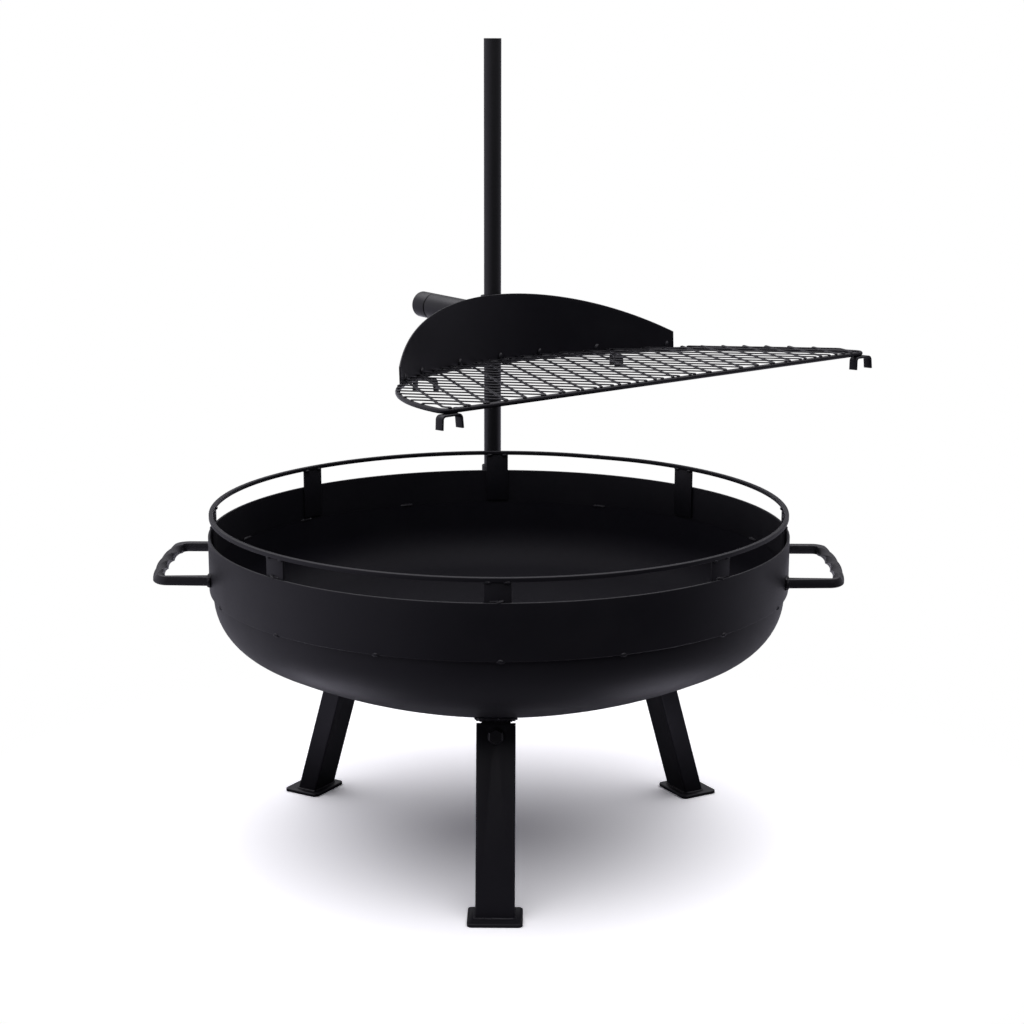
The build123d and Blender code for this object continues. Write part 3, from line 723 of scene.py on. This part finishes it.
LEG_AZIMUTHS = {"front": 270.0, "right": 30.0, "left": 150.0}
LEG_WIDTH = 48.4 * MM
LEG_DEPTH = 28.0 * MM
LEG_TOP_R = 237.6 * MM
LEG_TOP_Z = 227.6 * MM
LEG_FOOT_R = 304.6 * MM
FOOT_THICKNESS = 4.5 * MM
STUB_WIDTH = 36.0 * MM
STUB_DEPTH = 23.6 * MM
BOLT_BELOW_TOP = 15.8 * MM
WASHER_R = 10.0 * MM
WASHER_THICKNESS = 2.0 * MM
BOLT_FLATS = 17.0 * MM
BOLT_HEAD = 6.4 * MM
SHANK_R = 4.9 * MM
SHANK_PAST_LEG = 13.9 * MM
NUT_HEIGHT = 7.9 * MM
OUTLINE_STEP = 1.3 * MM


def leg_axes(azimuth):
    """The leg's top, its way down, its side and the direction its wide face looks."""
    top = bowl_point(azimuth, LEG_TOP_R, LEG_TOP_Z)
    foot = bowl_point(azimuth, LEG_FOOT_R, FOOT_THICKNESS)
    down = (foot - top).normalized()
    side = sideways(azimuth)
    return top, down, side, side.cross(down) * -1


def dish_height(radius):
    """Height of the dish's underside at a distance from its axis."""
    if radius < CROWN_R * math.sin(CROWN_ANGLE):
        return CROWN_Z - math.sqrt(CROWN_R ** 2 - radius ** 2)
    return KNUCKLE_Z - math.sqrt(max(0.0, KNUCKLE_R ** 2 - (radius - KNUCKLE_CENTRE) ** 2))


def meet_dish(point, up):
    """Carries a point up a leg's line until it meets the dish."""
    low, high = 0.0, 0.2
    for _ in range(40):
        reach = (low + high) / 2
        trial = point + up * reach
        radius = math.hypot(trial.x - BOWL.x, trial.y - BOWL.y)
        if trial.z < dish_height(radius):
            low = reach
        else:
            high = reach
    return point + up * low


HEX_CROWN = 0.86


def hex_head(centre, axis, side, flats, height, ease):
    """A hexagon that narrows to its crown over the last share (ease) of its height, as a shell."""
    axis, side = Vector(axis).normalized(), Vector(side).normalized()
    other = axis.cross(side)
    count = 48
    verts, faces = [], []
    for share, shrink in ((0.0, 1.0), (1.0 - ease, 1.0), (1.0, HEX_CROWN)):
        for step in range(count):
            angle = 2 * math.pi * step / count
            inside = (angle + math.pi / 6) % (math.pi / 3) - math.pi / 6
            reach = flats / 2 / math.cos(inside) * shrink
            out = side * math.cos(angle) + other * math.sin(angle)
            verts.append(centre + axis * height * share + out * reach)
    for ring in range(2):
        for step in range(count):
            after = (step + 1) % count
            a, b = ring * count, (ring + 1) * count
            faces.append((a + step, a + after, b + after, b + step))
    faces.append(tuple(range(count))[::-1])
    faces.append(tuple(range(2 * count, 3 * count)))
    return verts, faces


def dense_outline(outline, step):
    """A closed outline with more points along its straight stretches."""
    points = []
    for a, b in zip(outline, outline[1:] + outline[:1]):
        steps = max(1, int(math.dist(a, b) / step))
        across, up = b[0] - a[0], b[1] - a[1]
        points.extend((a[0] + across * i / steps, a[1] + up * i / steps) for i in range(steps))
    return points


# Runs of the fillet under the dish: how far out from the stub, bead radius, drop from the dish.
STUB_WELD_RUNS = (
    (0.8 * MM, 2.6 * MM, 1.5 * MM), (4.2 * MM, 2.0 * MM, 1.5 * MM), (7.2 * MM, 1.4 * MM, 1.1 * MM),
)


def make_legs():
    welds = Shells()
    bolts, washers, nuts = Shells(), Shells(), Shells()
    for place, azimuth in LEG_AZIMUTHS.items():
        top, down, side, face = leg_axes(azimuth)
        for grow, thick, drop in STUB_WELD_RUNS:
            outline = rounded_box_section(
                STUB_WIDTH + 2 * grow, STUB_DEPTH + 2 * grow, 2.0 * MM + grow, 3
            )
            loop = [
                meet_dish(top + side * u + face * v, -down) + down * drop
                for u, v in dense_outline(outline, OUTLINE_STEP)
            ]
            welds.take(weld_bead(loop, thick, 5.0 * MM, closed=True, rough=0.2))

        foot = []
        outline = rounded_box_section(LEG_WIDTH + 1.0 * MM, LEG_DEPTH + 1.0 * MM, 3.0 * MM, 3)
        for u, v in dense_outline(outline, OUTLINE_STEP):
            point = top + side * u + face * v
            foot.append(point + down * ((point.z - FOOT_THICKNESS - 0.3 * MM) / -down.z))
        welds.take(weld_bead(foot, 1.6 * MM, 4.0 * MM, closed=True, rough=0.14))

        head = top + down * BOLT_BELOW_TOP + face * (LEG_DEPTH / 2)
        washer = [
            (5.2 * MM, 0.0), (WASHER_R - 0.3 * MM, 0.0), (WASHER_R, 0.3 * MM),
            (WASHER_R, WASHER_THICKNESS - 0.5 * MM), (WASHER_R - 0.5 * MM, WASHER_THICKNESS),
            (5.2 * MM, WASHER_THICKNESS),
        ]
        washers.take(lathe(washer, 48, head, face))
        start = head + face * WASHER_THICKNESS
        bolts.take(hex_head(start, face, side, BOLT_FLATS, BOLT_HEAD, 0.3))
        tip = -LEG_DEPTH - SHANK_PAST_LEG
        shank = [
            (0.0, tip), (SHANK_R - 0.9 * MM, tip), (SHANK_R, tip + 0.9 * MM),
            (SHANK_R, 0.2 * MM), (0.0, 0.2 * MM),
        ]
        bolts.take(lathe(shank, 24, start, face))
        back = top + down * BOLT_BELOW_TOP - face * (LEG_DEPTH / 2)
        nuts.take(hex_head(back, -face, side, BOLT_FLATS, NUT_HEIGHT, 0.25))
        for node, bevel in (("leg_", 0.4 * MM), ("leg_stub_", 0.8 * MM), ("foot_plate_", 0.8 * MM)):
            eased_copy(node + place, node + place + "_shape", bevel)
    welds.place("leg_welds", "bowl_paint", "bowl")
    bolts.stand_in("leg_bolt_set", "leg_bolts", sharp=25)
    washers.stand_in("leg_washer_set", "leg_washers", sharp=35)
    nuts.stand_in("leg_nut_set", "leg_nuts", sharp=25)


# ---- pole and socket

POLE_LOW, POLE_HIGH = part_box("pole")
POLE_R = (POLE_HIGH.x - POLE_LOW.x) / 2
POLE_WALL = 2.0 * MM
SOCKET_LOW, SOCKET_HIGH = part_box("pole_socket")
SOCKET_R = (SOCKET_HIGH.x - SOCKET_LOW.x) / 2


def tube_loop(outside, bore, low, high, ease):
    return rounded_loop(((outside, low), (outside, high), (bore, high), (bore, low)), ease)


def make_pole():
    """The pole with a plug in its top, the socket it stands in and the socket's two welds."""
    origin = (POLE.x, POLE.y, 0)
    tube = tube_loop(POLE_R, POLE_R - POLE_WALL, POLE_LOW.z, POLE_HIGH.z, 0.6 * MM)
    stand_in("pole_tube", "pole", lathe(tube, 96, origin))
    plug = [
        (0.0, POLE_HIGH.z - 1.2 * MM), (POLE_R - 2.6 * MM, POLE_HIGH.z - 1.1 * MM),
        (POLE_R - 2.1 * MM, POLE_HIGH.z - 1.8 * MM), (POLE_R - 2.1 * MM, POLE_HIGH.z - 12 * MM),
        (0.0, POLE_HIGH.z - 12 * MM),
    ]
    place_piece("pole_plug", lathe(plug, 64, origin), "grip_grey", "pole")

    socket = tube_loop(SOCKET_R, POLE_R + 0.1 * MM, SOCKET_LOW.z, SOCKET_HIGH.z, 0.7 * MM)
    stand_in("socket_tube", "pole_socket", lathe(socket, 96, origin))

    azimuth = azimuth_of(POLE)
    away = math.hypot(POLE.x - BOWL.x, POLE.y - BOWL.y)
    for sign, node in ((1, "socket_weld_left"), (-1, "socket_weld_right")):
        # The bead lies where the tube's side comes down on the band.
        reach = BAND_R + 1.8 * MM
        offset = math.sqrt((SOCKET_R + 1.8 * MM) ** 2 - (away - reach) ** 2)
        run = []
        low, high = BAND_BOTTOM + 3 * MM, RIM_Z - 2 * MM
        for step in range(46):
            height = low + (high - low) * step / 45
            run.append(bowl_point(azimuth, reach, height) + sideways(azimuth) * sign * offset)
        made = weld_bead(run, 3.1 * MM, 6.5 * MM, rough=0.15, sides=10)
        stand_in(node + "_bead", node, made)


# ---- grate

GRATE_TURN = math.radians(40.3)
GRATE_RISE = 0.0458
HUB = Vector((POLE.x + 1.8 * MM, POLE.y, 583.0 * MM))
GRATE_RIGHT = Vector((math.cos(GRATE_TURN), math.sin(GRATE_TURN), 0))
GRATE_UP = Vector(
    (-GRATE_RISE * math.sin(GRATE_TURN), GRATE_RISE * math.cos(GRATE_TURN), 1)
).normalized()
GRATE_BACK = GRATE_UP.cross(GRATE_RIGHT)
ROD_R = 3.5 * MM
ARC_R = 392.0 * MM
ARC_CENTRE = 417.0 * MM
EDGE = 380.0 * MM
CORNER_BEND = 14.0 * MM
CORNER_TAIL = 372.0 * MM
HALF_CHORD = math.sqrt(ARC_R ** 2 - (ARC_CENTRE - EDGE) ** 2)

# One diamond's short and long way, and the middle of one diamond, as (along the edge, to the front).
MESH_SHORT = np.array((31.45, 2.3)) * MM
MESH_LONG = np.array((1.75, 59.0)) * MM
MESH_START = np.array((-4.9, -12.5)) * MM
STRAND_WIDTH = 3.3 * MM
STRAND_THICKNESS = 1.6 * MM
STRAND_TILT = math.radians(2.0)
STRAND_HEIGHT = 4.6 * MM
KNUCKLE_SHARE = 0.47
STRAND_PHASES = (0.0, 0.06, 0.12, 0.24, 0.38, 0.44, 0.5, 0.56, 0.62, 0.76, 0.88, 0.94)


def grate_point(right, front, up):
    """A point by its place along the straight edge, its distance in front of the pole, its height."""
    return HUB + GRATE_RIGHT * right - GRATE_BACK * front + GRATE_UP * up


def arc_front(right, radius=ARC_R):
    """How far in front of the pole the curved rod lies at a place along the straight edge."""
    return ARC_CENTRE - math.sqrt(max(0.0, radius ** 2 - right ** 2))


CORNER_EASE = CORNER_BEND * 1.15


def make_frame_rods():
    """The curved rod with its bent corners and tails, the straight rod, and the welds between."""
    # The curve runs from one corner bend to the other, and a short tail lies along the edge.
    chord_angle = math.atan2(ARC_CENTRE - EDGE, HALF_CHORD)
    start = chord_angle + CORNER_EASE / ARC_R
    arc = []
    for angle in np.linspace(start, math.pi - start, 161):
        arc.append((ARC_R * math.cos(angle), ARC_CENTRE - ARC_R * math.sin(angle)))

    def corner(sign):
        arc_end = np.array((sign * ARC_R * math.cos(start), ARC_CENTRE - ARC_R * math.sin(start)))
        tip = np.array((sign * HALF_CHORD, EDGE))
        tail = np.array((sign * (HALF_CHORD - CORNER_EASE), EDGE))
        return [
            tuple((1 - s) ** 2 * arc_end + 2 * s * (1 - s) * tip + s ** 2 * tail)
            for s in np.linspace(0, 1, 11)[1:]
        ] + [(sign * CORNER_TAIL, EDGE)]

    path = corner(1)[::-1] + arc + corner(-1)
    points = [grate_point(right, front, 0) for right, front in path]
    made = sweep(points, circle_section(ROD_R, 14), hint=GRATE_UP)
    stand_in("curved_rod", "frame_arc", made, sharp=60)
    points = [grate_point(right, EDGE, 0) for right in np.linspace(-CORNER_TAIL, CORNER_TAIL, 41)]
    made = sweep(points, circle_section(ROD_R, 14), hint=GRATE_UP)
    stand_in("straight_rod", "frame_front", made, sharp=60)

    welds = Shells()
    for sign in (-1, 1):
        run = [
            grate_point(sign * CORNER_TAIL + along * MM, EDGE, 0) for along in np.linspace(-4, 4, 9)
        ]
        welds.take(weld_bead(run, 4.3 * MM, 5.0 * MM, rough=0.1, sides=12))
    welds.place("rod_joint_welds", "grate_paint", "grate")


def diamond_wave(turns):
    """Goes from +1 to -1 and back once a turn, with a short flat at each end for the knuckle."""
    phase = abs((turns % 1.0) * 2 - 1)
    return max(-1.0, min(1.0, (phase * 2 - 1) * 1.16))


def inside_rods(place):
    """Whether a place in the grate's plane lies within the half-moon of rods."""
    off_centre = math.hypot(place[0], place[1] - ARC_CENTRE)
    return off_centre < ARC_R - 1.2 * MM and place[1] < EDGE + 0.8 * MM


def run_out(place, heading):
    """Carries a strand's end along its heading until it lies on a rod."""
    reach = 0.0
    trial = place
    while reach < 24 * MM:
        trial = place + heading * reach
        off_arc = math.hypot(trial[0], trial[1] - ARC_CENTRE) > ARC_R - 0.3 * MM
        if off_arc or trial[1] > EDGE + 0.5 * MM:
            break
        reach += 0.4 * MM
    return trial


def make_mesh():
    """Expanded steel sheet: zigzag strands that meet at their knuckles."""
    strands = Shells()
    pitch = float(np.linalg.norm(MESH_SHORT))
    swing = 0.25 - STRAND_WIDTH * KNUCKLE_SHARE / pitch
    half_count = int(HALF_CHORD / (pitch / 2)) + 4
    section = rounded_box_section(STRAND_WIDTH, STRAND_THICKNESS, 0.4 * MM, 1)
    ends = []
    for strand in range(-half_count, half_count + 1):
        lean = 1 if strand % 2 == 0 else -1
        run = []
        for row in range(-3, 9):
            for phase in STRAND_PHASES:
                across = (strand + 0.5) / 2 + lean * swing * diamond_wave(phase)
                place = MESH_START + MESH_SHORT * across + MESH_LONG * (row + phase)
                if inside_rods(place):
                    run.append(place)
        if len(run) < 4:
            continue
        run.insert(0, run_out(run[0], (run[0] - run[1]) / np.linalg.norm(run[0] - run[1])))
        run.append(run_out(run[-1], (run[-1] - run[-2]) / np.linalg.norm(run[-1] - run[-2])))
        points = [grate_point(right, front, STRAND_HEIGHT) for right, front in run]
        strands.take(sweep(points, section, hint=GRATE_RIGHT, turns=[STRAND_TILT] * len(points)))
        ends.append((run[0], run[-1]))
    strands.stand_in("grate_mesh_strands", "grate_mesh", sharp=55)

    dots = Shells()
    for start, finish in ends:
        for place in (start, finish):
            dots.take(weld_blob(
                grate_point(place[0], place[1], ROD_R + 0.3 * MM), GRATE_UP, GRATE_RIGHT,
                5.5 * MM, 4.8 * MM, 1.7 * MM, 5, 8,
            ))
    dots.place("grate_mesh_welds", "grate_paint", "grate")


# ---- shield, collar, clips, grip

SHIELD_THICKNESS = 2.0 * MM
SHIELD_HALF = 294.5 * MM
SHIELD_OFFSET = -17.0 * MM
SHIELD_HEIGHT = 99.0 * MM
SHIELD_CROWN = 641.0 * MM
SHIELD_TACKS = (-262.0, -186.0, -78.0, 8.0, 80.0, 175.0, 284.0)


def make_shield():
    """A lens-shaped strip rolled to the curved rod, with its edges rounded over."""
    columns = 180
    section_rows = 14
    half = SHIELD_THICKNESS / 2
    verts, faces = [], []
    for column in range(columns + 1):
        along = SHIELD_HALF * (2 * column / columns - 1)
        angle = (along + SHIELD_OFFSET) / ARC_R
        drop = SHIELD_CROWN - math.sqrt(SHIELD_CROWN ** 2 - along ** 2)
        low = ROD_R
        top = max(SHIELD_HEIGHT - drop, low + 3 * MM)
        loop = []
        for row in range(section_rows):
            loop.append((half, low + (top - half - low) * row / (section_rows - 1)))
        for step in range(1, 6):
            turn = math.pi * step / 6
            loop.append((half * math.cos(turn), top - half + half * math.sin(turn)))
        for row in range(section_rows - 1, -1, -1):
            loop.append((-half, low + (top - half - low) * row / (section_rows - 1)))
        loop_size = len(loop)
        for out, up in loop:
            radius = ARC_R + out
            front = ARC_CENTRE - radius * math.cos(angle)
            verts.append(grate_point(radius * math.sin(angle), front, up))
    for column in range(columns):
        a, b = column * loop_size, (column + 1) * loop_size
        for step in range(loop_size):
            after = (step + 1) % loop_size
            faces.append((a + step, a + after, b + after, b + step))
    faces.append(tuple(range(loop_size)))
    faces.append(tuple(range(columns * loop_size, (columns + 1) * loop_size))[::-1])
    made = verts, faces
    stand_in("shield_plate", "heat_shield", made, sharp=50)

    foot = Shells()
    for along in SHIELD_TACKS:
        angle = (along * MM + SHIELD_OFFSET) / ARC_R
        for radius, lean in ((ARC_R - 1.2 * MM, -1), (ARC_R + 1.2 * MM, 1)):
            centre = grate_point(
                radius * math.sin(angle), ARC_CENTRE - radius * math.cos(angle), ROD_R + 4.2 * MM
            )
            away = GRATE_RIGHT * math.sin(angle) * lean + GRATE_BACK * math.cos(angle) * lean
            foot.take(weld_blob(
                centre, away, GRATE_UP + GRATE_RIGHT * 0.35, 12 * MM, 7 * MM, 3.0 * MM, 7, 12,
            ))
    foot.place("shield_foot_welds", "grate_paint", "grate")


CLIP_SPACING = 30.5 * MM
CLIP_WIDTH = 14.0 * MM
CLIP_THICKNESS = 3.0 * MM
CLIP_DROP = 22.4 * MM
CLIP_SPLAY = math.radians(4.0)
CLIP_BEND = 5.0 * MM
FRONT_CLIP = 382.0 * MM
REAR_CLIP_SIDE = 182.0 * MM
REAR_CLIP_FRONT = 70.0 * MM
CLIP_AIM = 397.2 * MM


def make_clip(node, right, front, aim):
    """A strip bent over a rod's underside to an upside-down U with slightly splayed legs."""
    aim = Vector((aim[0], aim[1], 0)).normalized()
    along = GRATE_RIGHT * aim.x + GRATE_BACK * aim.y
    across = along.cross(GRATE_UP)
    origin = grate_point(right, front, 0)
    half = CLIP_SPACING / 2
    level = -ROD_R - CLIP_THICKNESS / 2
    profile = []
    for sign in (-1, 1):
        splayed = half + (CLIP_DROP + level - CLIP_BEND) * math.sin(CLIP_SPLAY)
        leg = [(sign * splayed, -CLIP_DROP)]
        for step in range(8):
            turn = math.pi / 2 * step / 7
            leg.append((
                sign * (half - CLIP_BEND + CLIP_BEND * math.cos(turn)),
                level - CLIP_BEND + CLIP_BEND * math.sin(turn),
            ))
        profile.extend(leg if sign < 0 else leg[::-1])
    points = [origin + along * a + GRATE_UP * up for a, up in profile]
    section = rounded_box_section(CLIP_WIDTH, CLIP_THICKNESS, 0.8 * MM, 2)
    made = sweep(points, section, hint=across)
    stand_in(node + "_strip", node, made, sharp=50)


def make_clips():
    make_clip("clip_front_left", -FRONT_CLIP, EDGE, (1, 0))
    make_clip("clip_front_right", FRONT_CLIP, EDGE, (1, 0))
    aim = CLIP_AIM - REAR_CLIP_FRONT
    make_clip("clip_rear_left", -REAR_CLIP_SIDE, REAR_CLIP_FRONT, (REAR_CLIP_SIDE, -aim))
    make_clip("clip_rear_right", REAR_CLIP_SIDE, REAR_CLIP_FRONT, (-REAR_CLIP_SIDE, -aim))


COLLAR_LOW, COLLAR_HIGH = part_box("collar")
COLLAR_R = (COLLAR_HIGH.x - COLLAR_LOW.x) / 2
COLLAR_TOP = 679.6 * MM
COLLAR_GAP = 0.15 * MM
GRATE_REAR = Vector((-math.sin(GRATE_TURN), math.cos(GRATE_TURN), 0))


def make_collar():
    """The sleeve that slides on the pole, cut off along the grate's plane at its top."""
    radius = COLLAR_R
    bore = POLE_R + COLLAR_GAP
    ring = 96
    ease = 0.6 * MM
    loop = (
        (bore, 0, 0), (bore + ease, 0, 0), (radius - ease, 0, 0), (radius, 0, ease),
        (radius, 1, -ease), (radius - ease, 1, 0), (bore + ease, 1, 0), (bore, 1, -ease),
    )
    verts, faces = [], []
    for step in range(ring):
        angle = 2 * math.pi * step / ring
        out = Vector((math.cos(angle), math.sin(angle), 0))
        for reach, at_top, lift in loop:
            lean = GRATE_RISE * -reach * out.dot(GRATE_REAR)
            height = COLLAR_TOP + lean if at_top else COLLAR_LOW.z
            verts.append(Vector((POLE.x, POLE.y, height + lift)) + out * reach)
    size = len(loop)
    for step in range(ring):
        a, b = step * size, (step + 1) % ring * size
        for index in range(size):
            after = (index + 1) % size
            faces.append((a + index, b + index, b + after, a + after))
    stand_in("collar_sleeve", "collar", (verts, faces), sharp=40)


SADDLE_HALF = 10.0 * MM
GRIP_Z = 644.4 * MM
GRIP_AXIS = Vector((-math.sin(GRATE_TURN), math.cos(GRATE_TURN), 0.026)).normalized()
GRIP_R = 19.5 * MM
STEM_R = 8.05 * MM
GRIP_START, GRIP_MIDDLE, GRIP_END = 32.0 * MM, 75.0 * MM, 145.3 * MM
CAP_START, CAP_END = 146.5 * MM, 175.6 * MM
CAP_GROOVE_EDGE = 1.5 * MM
CAP_ROUND = 3.0 * MM
CAP_FLAT = 8.0 * MM


def make_grate_fittings():
    eased_copy("shield_saddle", "saddle_block", 0.9 * MM)
    eased_copy("handle_stem", "stem_rod", 0.5 * MM, sharp=40.0)

    welds = Shells()
    for sign in (-1, 1):
        # Down each side of the saddle, against the collar.
        angle = math.atan2(SADDLE_HALF + 1.5 * MM, COLLAR_R)
        out = -GRATE_BACK * math.cos(angle) + GRATE_RIGHT * sign * math.sin(angle)
        out.z = 0
        run = []
        for height in np.linspace(10 * MM, 84 * MM, 48):
            level = HUB.z + GRATE_UP.z * height
            run.append(Vector((POLE.x, POLE.y, level)) + out.normalized() * (COLLAR_R + 0.9 * MM))
        welds.take(weld_bead(run, 1.9 * MM, 5.0 * MM, rough=0.14))
    welds.place("saddle_welds", "grate_paint", "grate")

    rod = Shells()
    front = arc_front(0) + 6.2 * MM
    for lift in (-2.2, 1.8):
        run = [
            grate_point(right * MM, front - abs(right) * 0.10 * MM, lift * MM)
            for right in np.linspace(-9, 9, 19)
        ]
        rod.take(weld_bead(run, 2.6 * MM, 5.0 * MM, rough=0.14))
    rod.stand_in("collar_rod_bead", "collar_weld")

    origin = Vector((HUB.x, HUB.y, GRIP_Z))
    sleeve = rounded_loop((
        (STEM_R, GRIP_START), (GRIP_R, GRIP_START), (GRIP_R, GRIP_MIDDLE), (GRIP_R, GRIP_END),
        (STEM_R, GRIP_END),
    ), 2.0 * MM, 6)
    made = lathe(sleeve, 96, origin, GRIP_AXIS)
    stand_in("grip_sleeve", "handle_grip", made)
    cap = [(0.0, CAP_START + 10.5 * MM), (STEM_R, CAP_START + 10.5 * MM), (STEM_R, CAP_START)]
    for step in range(7):
        turn = math.pi / 2 * step / 6
        cap.append((
            GRIP_R - CAP_GROOVE_EDGE + CAP_GROOVE_EDGE * math.sin(turn),
            CAP_START + CAP_GROOVE_EDGE - CAP_GROOVE_EDGE * math.cos(turn),
        ))
    for step in range(9):
        turn = math.pi / 2 * step / 8
        cap.append((
            GRIP_R - CAP_ROUND + CAP_ROUND * math.cos(turn),
            CAP_END - CAP_ROUND + CAP_ROUND * math.sin(turn),
        ))
    cap.extend([(CAP_FLAT, CAP_END), (0.0, CAP_END)])
    stand_in("grip_end", "handle_cap", lathe(cap, 96, origin, GRIP_AXIS))


make_bowl()
make_seam()
make_rail()
make_carry_handle(-1, "carry_handle_left", "carry_loop_left")
make_carry_handle(1, "carry_handle_right", "carry_loop_right")
make_legs()
make_pole()
make_frame_rods()
make_mesh()
make_shield()
make_clips()
make_collar()
make_grate_fittings()


# ---- studio

# Levels of the floor and distances from the bowl's axis, which set the reflections in the paint.
FLOOR_SIZE = 60.0
FLOOR_LEVEL = 1.40
FLOOR_TINT = (1.0, 0.99, 1.03)
POOL_TINT = (0.97, 0.95, 1.08)
POOL_START, POOL_END = 0.45, 1.0
POOL_FRONT = 0.30
POOL_BACK = 0.05
UNDER_END = 0.38
UNDER_FADE = 0.2
FAR_START = 1.2
FAR_FADE = 0.8
OPEN_BACK = 0.4
OPEN_FAR = 0.3
FAR_BEHIND = 0.9
SIDE_LEVEL = 1.5
CENTRE_LEVEL = 0.5
CLEAR_START, CLEAR_END = 0.42, 0.80
SOFT_LIGHT = (0.94, 0.93, 1.0, 1.0)
SUN_FROM = (0.02, 0.01, 1.0)
SUN_STRENGTH = 3.4
SUN_SPREAD = 105.0
WHITE = (1.0, 1.0, 1.0, 1.0)


def pool_level(n, place):
    """Painted light and shade on the floor, seen only in reflections: how bright the floor is there,
    by its distance from the bowl and its direction.
    """
    inputs = {0: place, 1: (BOWL.x, BOWL.y, 0.0)}
    offset = n.add("ShaderNodeVectorMath", inputs, operation="SUBTRACT").outputs[0]
    away = n.add("ShaderNodeVectorMath", {0: offset}, operation="LENGTH").outputs["Value"]
    heading = n.add("ShaderNodeVectorMath", {0: offset}, operation="NORMALIZE").outputs[0]
    heading = n.add("ShaderNodeSeparateXYZ", {"Vector": heading}).outputs
    aside = n.math("ABSOLUTE", heading["X"])

    # In front, and at both sides: a painted pool of light that fades out to a far floor, lighter to
    # the left.
    far_left = n.ramp(heading["X"], -0.2, -1.0, 0.0, 0.35)
    far = n.plus(n.ramp(heading["Y"], -0.6, 0.6, 0.02, 0.30), far_left)
    pool = n.ramp(away, POOL_START, POOL_END, POOL_FRONT, 0.0)
    front = n.plus(pool, n.times(n.ramp(away, POOL_START, POOL_END, 0.0, 1.0), far))

    # Behind: a painted shadow under the bowl, then open floor, brightest far off and straight behind.
    far_end = FAR_START + FAR_FADE
    straight = n.ramp(aside, 0.3, 0.6, 1.0, 0.0)
    beyond = n.times(n.ramp(away, FAR_START, far_end, 0.0, FAR_BEHIND), straight)
    open_back = n.plus(n.ramp(away, FAR_START, far_end, OPEN_BACK, OPEN_FAR), beyond)
    under_edge = UNDER_END + UNDER_FADE
    edge = n.ramp(away, UNDER_END, under_edge, 0.0, 1.0)
    under = n.ramp(away, UNDER_END, under_edge, POOL_BACK, 0.0)
    back = n.plus(under, n.times(edge, open_back))

    # Painted light: two bright wings under the sides of the dish, and a small bright centre.
    ring = n.times(
        n.ramp(away, 0.20, 0.35, 0.0, SIDE_LEVEL), n.ramp(away, 0.42, 0.58, 1.0, 0.0)
    )
    wings = n.times(n.ramp(aside, 0.6, 0.85, 0.0, 1.0), n.ramp(heading["Y"], 0.0, -0.1, 0.0, 1.0))
    centre = n.ramp(away, 0.12, 0.28, CENTRE_LEVEL, 0.0)

    turn = n.ramp(heading["Y"], 0.0, 0.4, 0.0, 1.0)
    around = n.plus(n.times(n.math("SUBTRACT", 1.0, turn), front), n.times(turn, back))
    return n.plus(n.plus(around, n.times(ring, wings)), centre), away


def make_floor():
    """White paper to the camera, clear further out, and a painted pool of light and shadow in
    reflections.
    """
    mesh = bpy.data.meshes.new("floor")
    corners = [(FLOOR_SIZE * x, FLOOR_SIZE * y, 0) for x, y in ((-1, -1), (1, -1), (1, 1), (-1, 1))]
    mesh.from_pydata(corners, [], [(0, 1, 2, 3)])
    floor = add_object("floor", mesh)
    material = bpy.data.materials.new("floor_paper")
    material.use_nodes = True
    n = Nodes(material.node_tree)
    pool, away = pool_level(n, n.add("ShaderNodeTexCoord").outputs["Object"])
    seen = n.add("ShaderNodeLightPath").outputs["Is Camera Ray"]
    tinted = {axis: n.times(pool, share) for axis, share in zip("XYZ", POOL_TINT)}
    lit = n.add("ShaderNodeCombineXYZ", tinted).outputs[0]
    paper = n.mix(seen, lit, (*(FLOOR_LEVEL * share for share in FLOOR_TINT), 1.0))
    shader = n.add("ShaderNodeBsdfDiffuse", {"Color": paper}).outputs[0]
    clear = n.add("ShaderNodeBsdfTransparent").outputs[0]
    fade = n.times(seen, n.ramp(away, CLEAR_START, CLEAR_END, 0.0, 1.0))
    both = n.add("ShaderNodeMixShader", {0: fade, 1: shader, 2: clear})
    n.finish("ShaderNodeOutputMaterial", both.outputs[0])
    set_material(floor, material)


def make_world():
    """White to the camera, and a soft light from the back and the left to everything else."""
    world = bpy.data.worlds.new("studio")
    bpy.context.scene.world = world
    world.use_nodes = True
    n = Nodes(world.node_tree)
    direction = n.add("ShaderNodeTexCoord").outputs["Generated"]
    parts = n.add("ShaderNodeSeparateXYZ", {"Vector": direction}).outputs
    back = n.ramp(parts["Y"], -0.2, 0.7, 0.04, 0.26)
    left = n.ramp(parts["X"], -0.1, -0.9, 0.0, 0.4)
    light = n.plus(back, left)
    soft = n.add("ShaderNodeBackground", {"Color": SOFT_LIGHT, "Strength": light}).outputs[0]
    white = n.add("ShaderNodeBackground", {"Color": WHITE, "Strength": 1.0}).outputs[0]
    seen = n.add("ShaderNodeLightPath").outputs["Is Camera Ray"]
    both = n.add("ShaderNodeMixShader", {0: seen, 1: soft, 2: white})
    n.finish("ShaderNodeOutputWorld", both.outputs[0])


def make_sun(name, direction, strength, spread):
    data = bpy.data.lights.new(name, "SUN")
    data.energy = strength
    data.angle = math.radians(spread)
    light = add_object(name, data)
    light.rotation_euler = Vector(direction).to_track_quat("Z", "Y").to_euler()


make_floor()
make_world()
make_sun("overhead", SUN_FROM, SUN_STRENGTH, SUN_SPREAD)
bpy.context.scene.view_settings.view_transform = "Standard"
